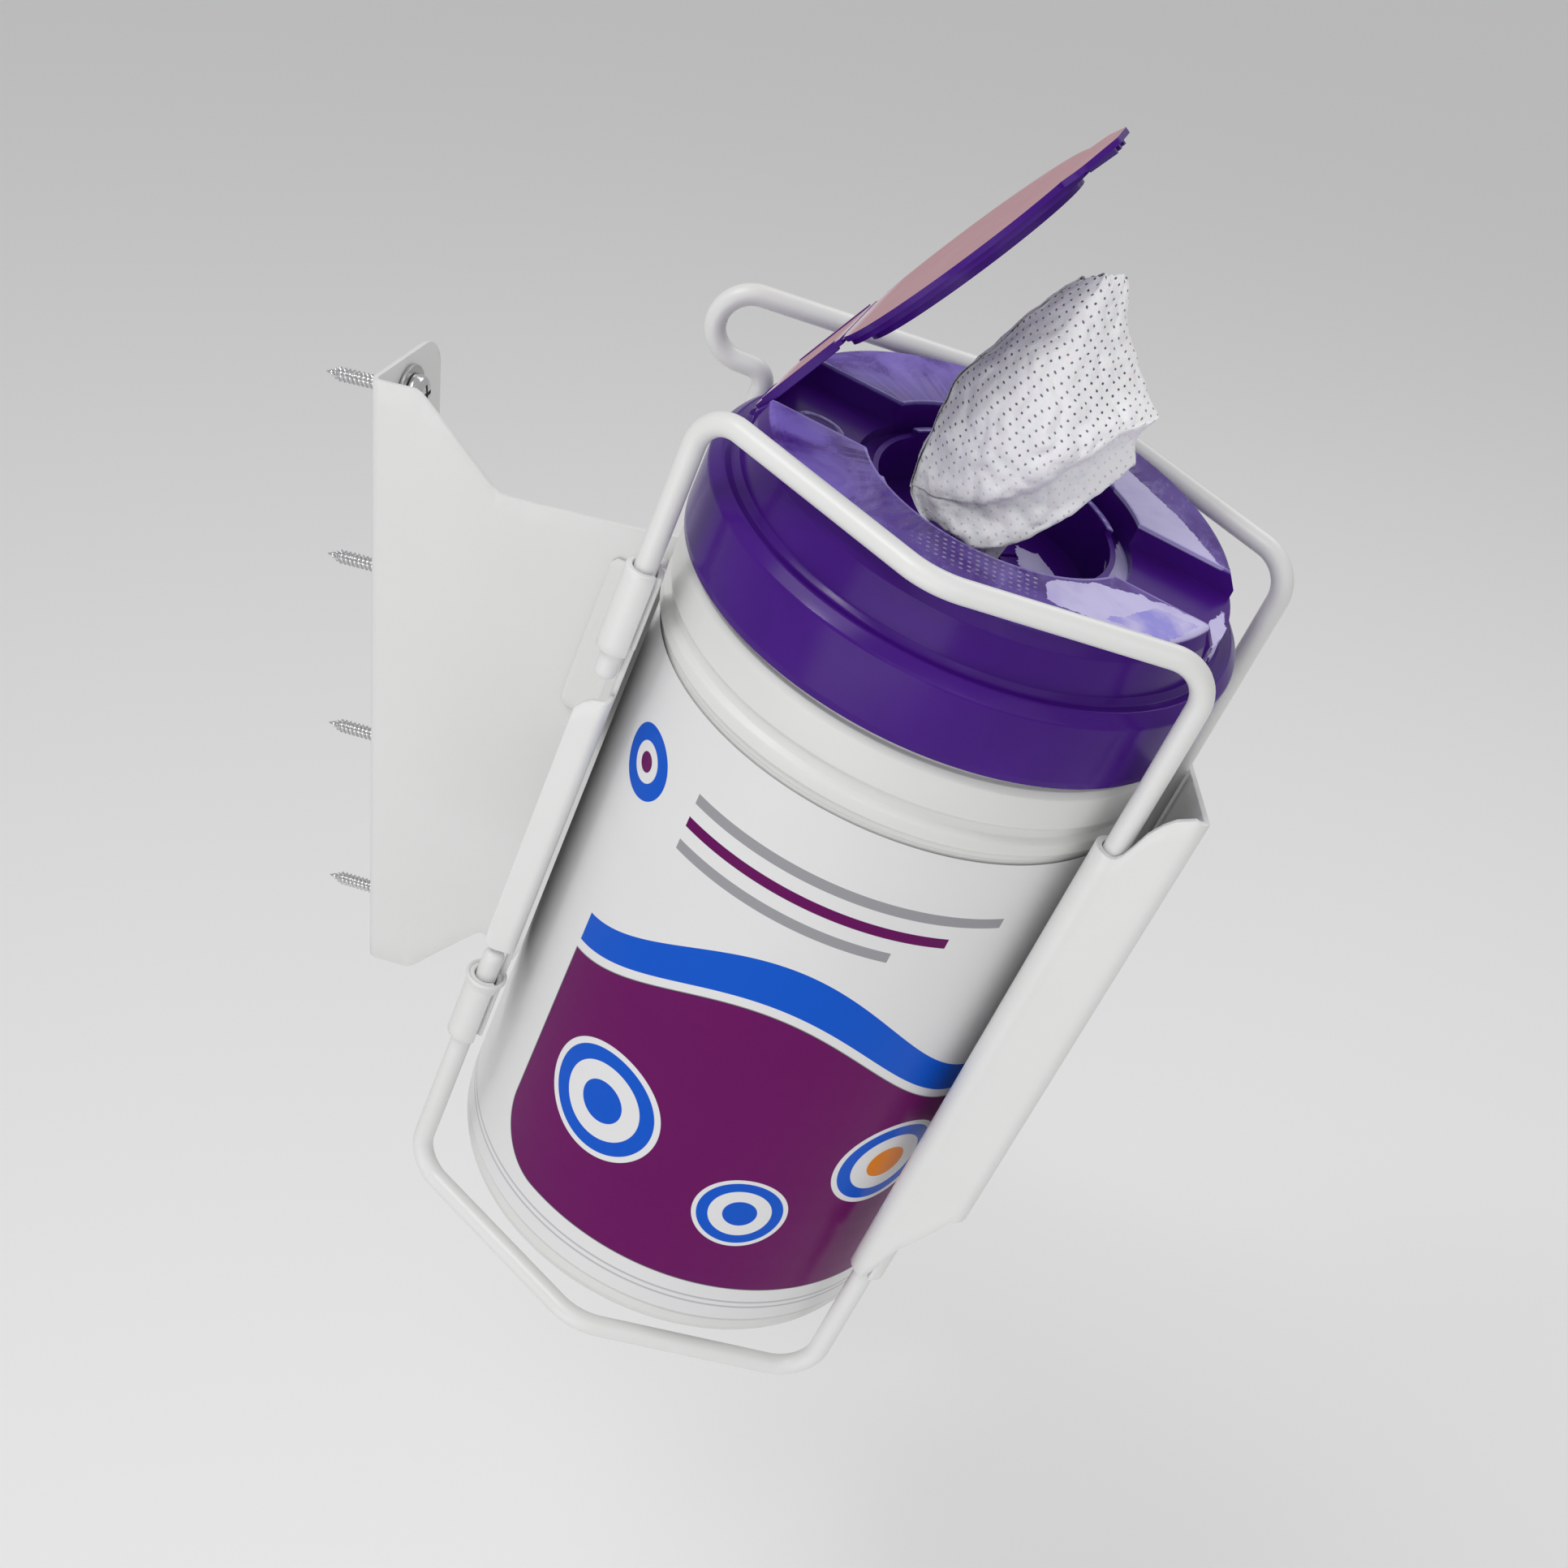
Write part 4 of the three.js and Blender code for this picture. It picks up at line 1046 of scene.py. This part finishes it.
# the standing cloth: each row runs across its front from left to right; rows go down from the top
FRONT = [
    [(-5.4, 1.0, 286.5), (-3.6, 0.0, 288.4), (-1.6, -1.0, 290.1), (-0.1, -1.0, 291.1), (1.4, 0.0, 291.6), (2.5, 1.0, 291.8), (3.8, 2.0, 290.7)],
    [(-8.6, 1.0, 280.6), (-5.7, -2.0, 283.5), (-2.4, -4.0, 285.9), (0.1, -4.0, 287.2), (2.3, -2.0, 287.5), (3.8, 0.0, 287.4), (5.3, 2.0, 287.1)],
    [(-12.6, 0.0, 272.3), (-8.3, -4.0, 276.5), (-4.1, -7.0, 279.8), (-0.1, -7.0, 281.7), (3.1, -4.0, 281.9), (5.5, -1.0, 281.7), (7.6, 2.0, 281.3)],
    [(-16.1, -1.0, 264.2), (-10.8, -7.0, 269.9), (-5.5, -10.0, 273.8), (-0.3, -10.0, 276.1), (4.1, -6.0, 276.6), (7.9, -2.0, 276.7), (11.4, 2.0, 276.7)],
    [(-19.6, -3.0, 257.2), (-13.2, -9.0, 263.1), (-6.7, -13.0, 267.7), (-0.2, -13.0, 270.3), (5.7, -9.0, 271.3), (11.2, -4.0, 271.7), (15.7, 2.0, 271.6)],
    [(-20.4, -6.0, 250.8), (-13.5, -12.0, 256.5), (-5.7, -16.0, 261.2), (2.0, -16.0, 264.3), (8.9, -11.0, 265.7), (14.9, -5.0, 266.9), (19.4, 1.0, 268.2)],
    [(-20.2, -9.0, 243.0), (-12.5, -15.0, 248.0), (-3.9, -19.0, 252.9), (4.4, -19.0, 257.4), (11.6, -14.0, 260.7), (17.5, -7.0, 264.1), (22.3, 0.0, 266.4)],
    [(-19.3, -12.0, 231.5), (-10.2, -18.0, 235.7), (-0.7, -22.0, 241.5), (7.1, -21.0, 249.3), (12.6, -16.0, 256.2), (17.7, -9.0, 261.3), (22.5, -1.0, 265.6)],
    [(-18.8, -12.2, 229.9), (-10.1, -17.2, 233.2), (-0.6, -19.6, 238.4), (7.6, -17.8, 245.8), (12.4, -13.0, 252.6), (17.0, -7.0, 257.8), (21.2, -0.4, 261.6)],
    [(-17.7, -12.5, 228.1), (-9.6, -17.0, 230.7), (1.2, -20.0, 234.3), (9.4, -18.0, 240.9), (13.6, -13.0, 247.4), (17.2, -7.0, 254.0), (21.2, -1.0, 258.4)],
    [(-13.1, -13.0, 225.5), (-7.0, -17.0, 226.7), (1.5, -21.0, 228.7), (10.7, -19.0, 235.2), (15.7, -14.0, 242.6), (20.2, -8.0, 248.2), (22.8, -2.0, 254.0)],
    [(-9.5, -9.0, 224.3), (-4.8, -11.0, 224.4), (1.4, -13.0, 226.8), (8.4, -12.0, 233.5), (13.3, -9.0, 240.5), (17.6, -5.0, 246.7), (20.5, -1.0, 251.4)],
]
SECTIONS = []
for row in FRONT:
    left, right_end = np.array(row[0]), np.array(row[-1])
    deep = min(9.0, 0.8 + 0.30 * float(np.linalg.norm(right_end - left)))
    back = [right_end + (-0.3, 0.45 * deep, -0.8), right_end + (left - right_end) * 0.3 + (0.5, deep, -0.6),
            right_end + (left - right_end) * 0.65 + (0, 1.05 * deep, -0.4), left + (1.0, 0.6 * deep, 0.4), left + (-0.4, 0.08 * deep, 0.2), left + (-0.1, -0.1 * deep - 0.5, 0.2)]
    SECTIONS.append([np.array(q) for q in row] + back)
TURN = [185, 212, 240, 268, 296, 324, 350, 10, 60, 110, 150, 180, 196]
for height, radius, fold in ((222.5, 6.4, 1.0), (213.0, 5.2, 1.2), (200.0, 4.6, 1.4)):
    SECTIONS.append([np.array([(radius + fold * (-1) ** k * 0.5) * math.cos(math.radians(d)), (radius + fold * (-1) ** k * 0.5) * math.sin(math.radians(d)), height]) for k, d in enumerate(TURN)])
SECTIONS.insert(len(FRONT), [a * 0.45 + b * 0.55 for a, b in zip(SECTIONS[len(FRONT) - 1], SECTIONS[len(FRONT)])])


def spline(points, n):
    """A smooth curve through the points, n samples."""
    P = np.array(points, float)
    P = np.vstack([2 * P[0] - P[1], P, 2 * P[-1] - P[-2]])
    out = []
    m = len(P) - 3
    for k in range(n):
        u = m * k / (n - 1)
        i = min(int(u), m - 1)
        f = u - i
        a, b, c, d = P[i], P[i + 1], P[i + 2], P[i + 3]
        out.append(0.5 * ((2 * b) + (-a + c) * f + (2 * a - 5 * b + 4 * c - d) * f * f + (-a + 3 * b - 3 * c + d) * f ** 3))
    return np.array(out)


NU, NV = 190, 190
rough = np.array([spline(line, NU) for line in SECTIONS])
cloth = np.stack([spline(rough[:, i], NV) for i in range(NU)], 1)  # [v][u]
# crumples: slight on the smooth upper front, stronger in the folds below it
for j in range(NV):
    for i in range(NU):
        q = Vector(cloth[j, i])
        amp = min(1.0, max(0.0, (q.z - 214) / 12))
        amp *= 0.55 + 0.45 * min(1.0, max(0.0, (NV * 0.5 - abs(j - NV * 0.55)) / (NV * 0.3)))
        d1 = noise.noise_vector(q * 0.11 + Vector((3, 8, 1)))
        d2 = noise.noise_vector(q * 0.36 + Vector((9, 2, 5)))
        ridge = abs(noise.noise(q * 0.20 + Vector((1, 1, 7)))) * 2
        cloth[j, i] += np.array(d1) * 1.0 * amp + np.array(d2) * 0.32 * amp + np.array([0.3, -0.8, 0.2]) * (ridge - 0.5) * 0.9 * amp
# the free upper edge is cut straight, but frays and waves
for i in range(NU):
    w = noise.noise(Vector((i * 0.11, 4.0, 2.0))) * 1.1 + noise.noise(Vector((i * 0.35, 9.0, 2.0))) * 0.35
    for j in range(14):
        cloth[j, i, 2] += w * (1 - j / 14)
rows = [[tuple(cloth[j, i]) for i in range(NU)] for j in range(NV)]
# distance along and across, so that the print's holes keep their spacing
across = np.zeros((NV, NU))
along = np.zeros((NV, NU))
for i in range(1, NU):
    across[:, i] = across[:, i - 1] + np.linalg.norm(cloth[:, i] - cloth[:, i - 1], axis=1)
across -= across[:, NU // 3][:, None]
for j in range(1, NV):
    along[j] = along[j - 1] + np.linalg.norm(cloth[j] - cloth[j - 1], axis=1)
wipe = grid("wipe", rows)
attribute(wipe.data, "lab", [(across[j, i], along[j, i], j / (NV - 1)) for j in range(NV) for i in range(NU)])
wipe.data.update()
finish_piece(wipe, "wipe_tail", "root", CLOTH)
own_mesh(wipe)

# ---------- floor, lights, camera ----------
fl = bpy.data.meshes.new("floor")
fl.from_pydata([(-6, -6, -0.42), (6, -6, -0.42), (6, 6, -0.42), (-6, 6, -0.42)], [], [(0, 1, 2, 3)])
floor = bpy.data.objects.new("floor", fl)
bpy.context.scene.collection.objects.link(floor)
fm = bpy.data.materials.new("floor_plain")
fm.use_nodes = True
fm.node_tree.nodes["Principled BSDF"].inputs["Base Color"].default_value = (0.94, 0.94, 0.94, 1)
fm.node_tree.nodes["Principled BSDF"].inputs["Roughness"].default_value = 0.9
fl.materials.append(fm)
floor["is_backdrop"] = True

w = bpy.data.worlds.new("studio")
bpy.context.scene.world = w
w.use_nodes = True
w.node_tree.nodes["Background"].inputs[0].default_value = (1, 1, 1, 1)
w.node_tree.nodes["Background"].inputs[1].default_value = 0.50


def area_light(name, loc, target, size, power, colour=(1, 1, 1)):
    d = bpy.data.lights.new(name, "AREA")
    d.shape = "RECTANGLE"
    d.size, d.size_y = size
    d.energy = power
    d.color = colour
    o = bpy.data.objects.new(name, d)
    bpy.context.scene.collection.objects.link(o)
    o.location = loc
    o.rotation_mode = "QUATERNION"
    o.rotation_quaternion = (Vector(target) - Vector(loc)).to_track_quat("-Z", "Y")
    return o


CENTRE = (0.16, -0.09, 0.05)
area_light("key", (-0.2, -0.55, 1.2), CENTRE, (0.7, 0.5), 4.2)
area_light("glint", (-0.25, -0.75, 1.1), CENTRE, (0.18, 0.12), 1.5)
area_light("front", (0.45, -1.1, 0.65), CENTRE, (0.8, 0.8), 1.4)
area_light("fill", (1.0, -0.8, 0.5), CENTRE, (0.8, 0.8), 1.2)
area_light("low", (-0.15, -1.25, -0.2), CENTRE, (1.0, 0.6), 3.0)
area_light("back", (0.5, 0.8, 1.0), CENTRE, (0.6, 0.6), 3.0)

cam_d = bpy.data.cameras.new("camera")
cam = bpy.data.objects.new("camera", cam_d)
bpy.context.scene.collection.objects.link(cam)
cam_d.sensor_fit = "HORIZONTAL"
cam_d.sensor_width = 36.0
cam_d.lens = 36.0 * 2744.86 / 1932.0
cam_d.clip_start, cam_d.clip_end = 0.01, 50.0
right = Vector((0.942, 0.321, 0.102)).normalized()
up = Vector((-0.253, 0.475, 0.843))
up = (up - right * up.dot(right)).normalized()
back = right.cross(up)
eye = Vector(tw(24.9, -469.5, 457.9)) * 0.001
cam.matrix_world = Matrix(((right.x, up.x, back.x, eye.x), (right.y, up.y, back.y, eye.y), (right.z, up.z, back.z, eye.z), (0, 0, 0, 1)))
bpy.context.scene.camera = cam
bpy.context.scene.view_settings.view_transform = "Standard"

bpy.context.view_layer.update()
tris = {}
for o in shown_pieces():
    if o.type == "MESH":
        tris[o.name] = sum(len(p.vertices) - 2 for p in o.data.polygons)
print("triangles", sum(tris.values()), tris)
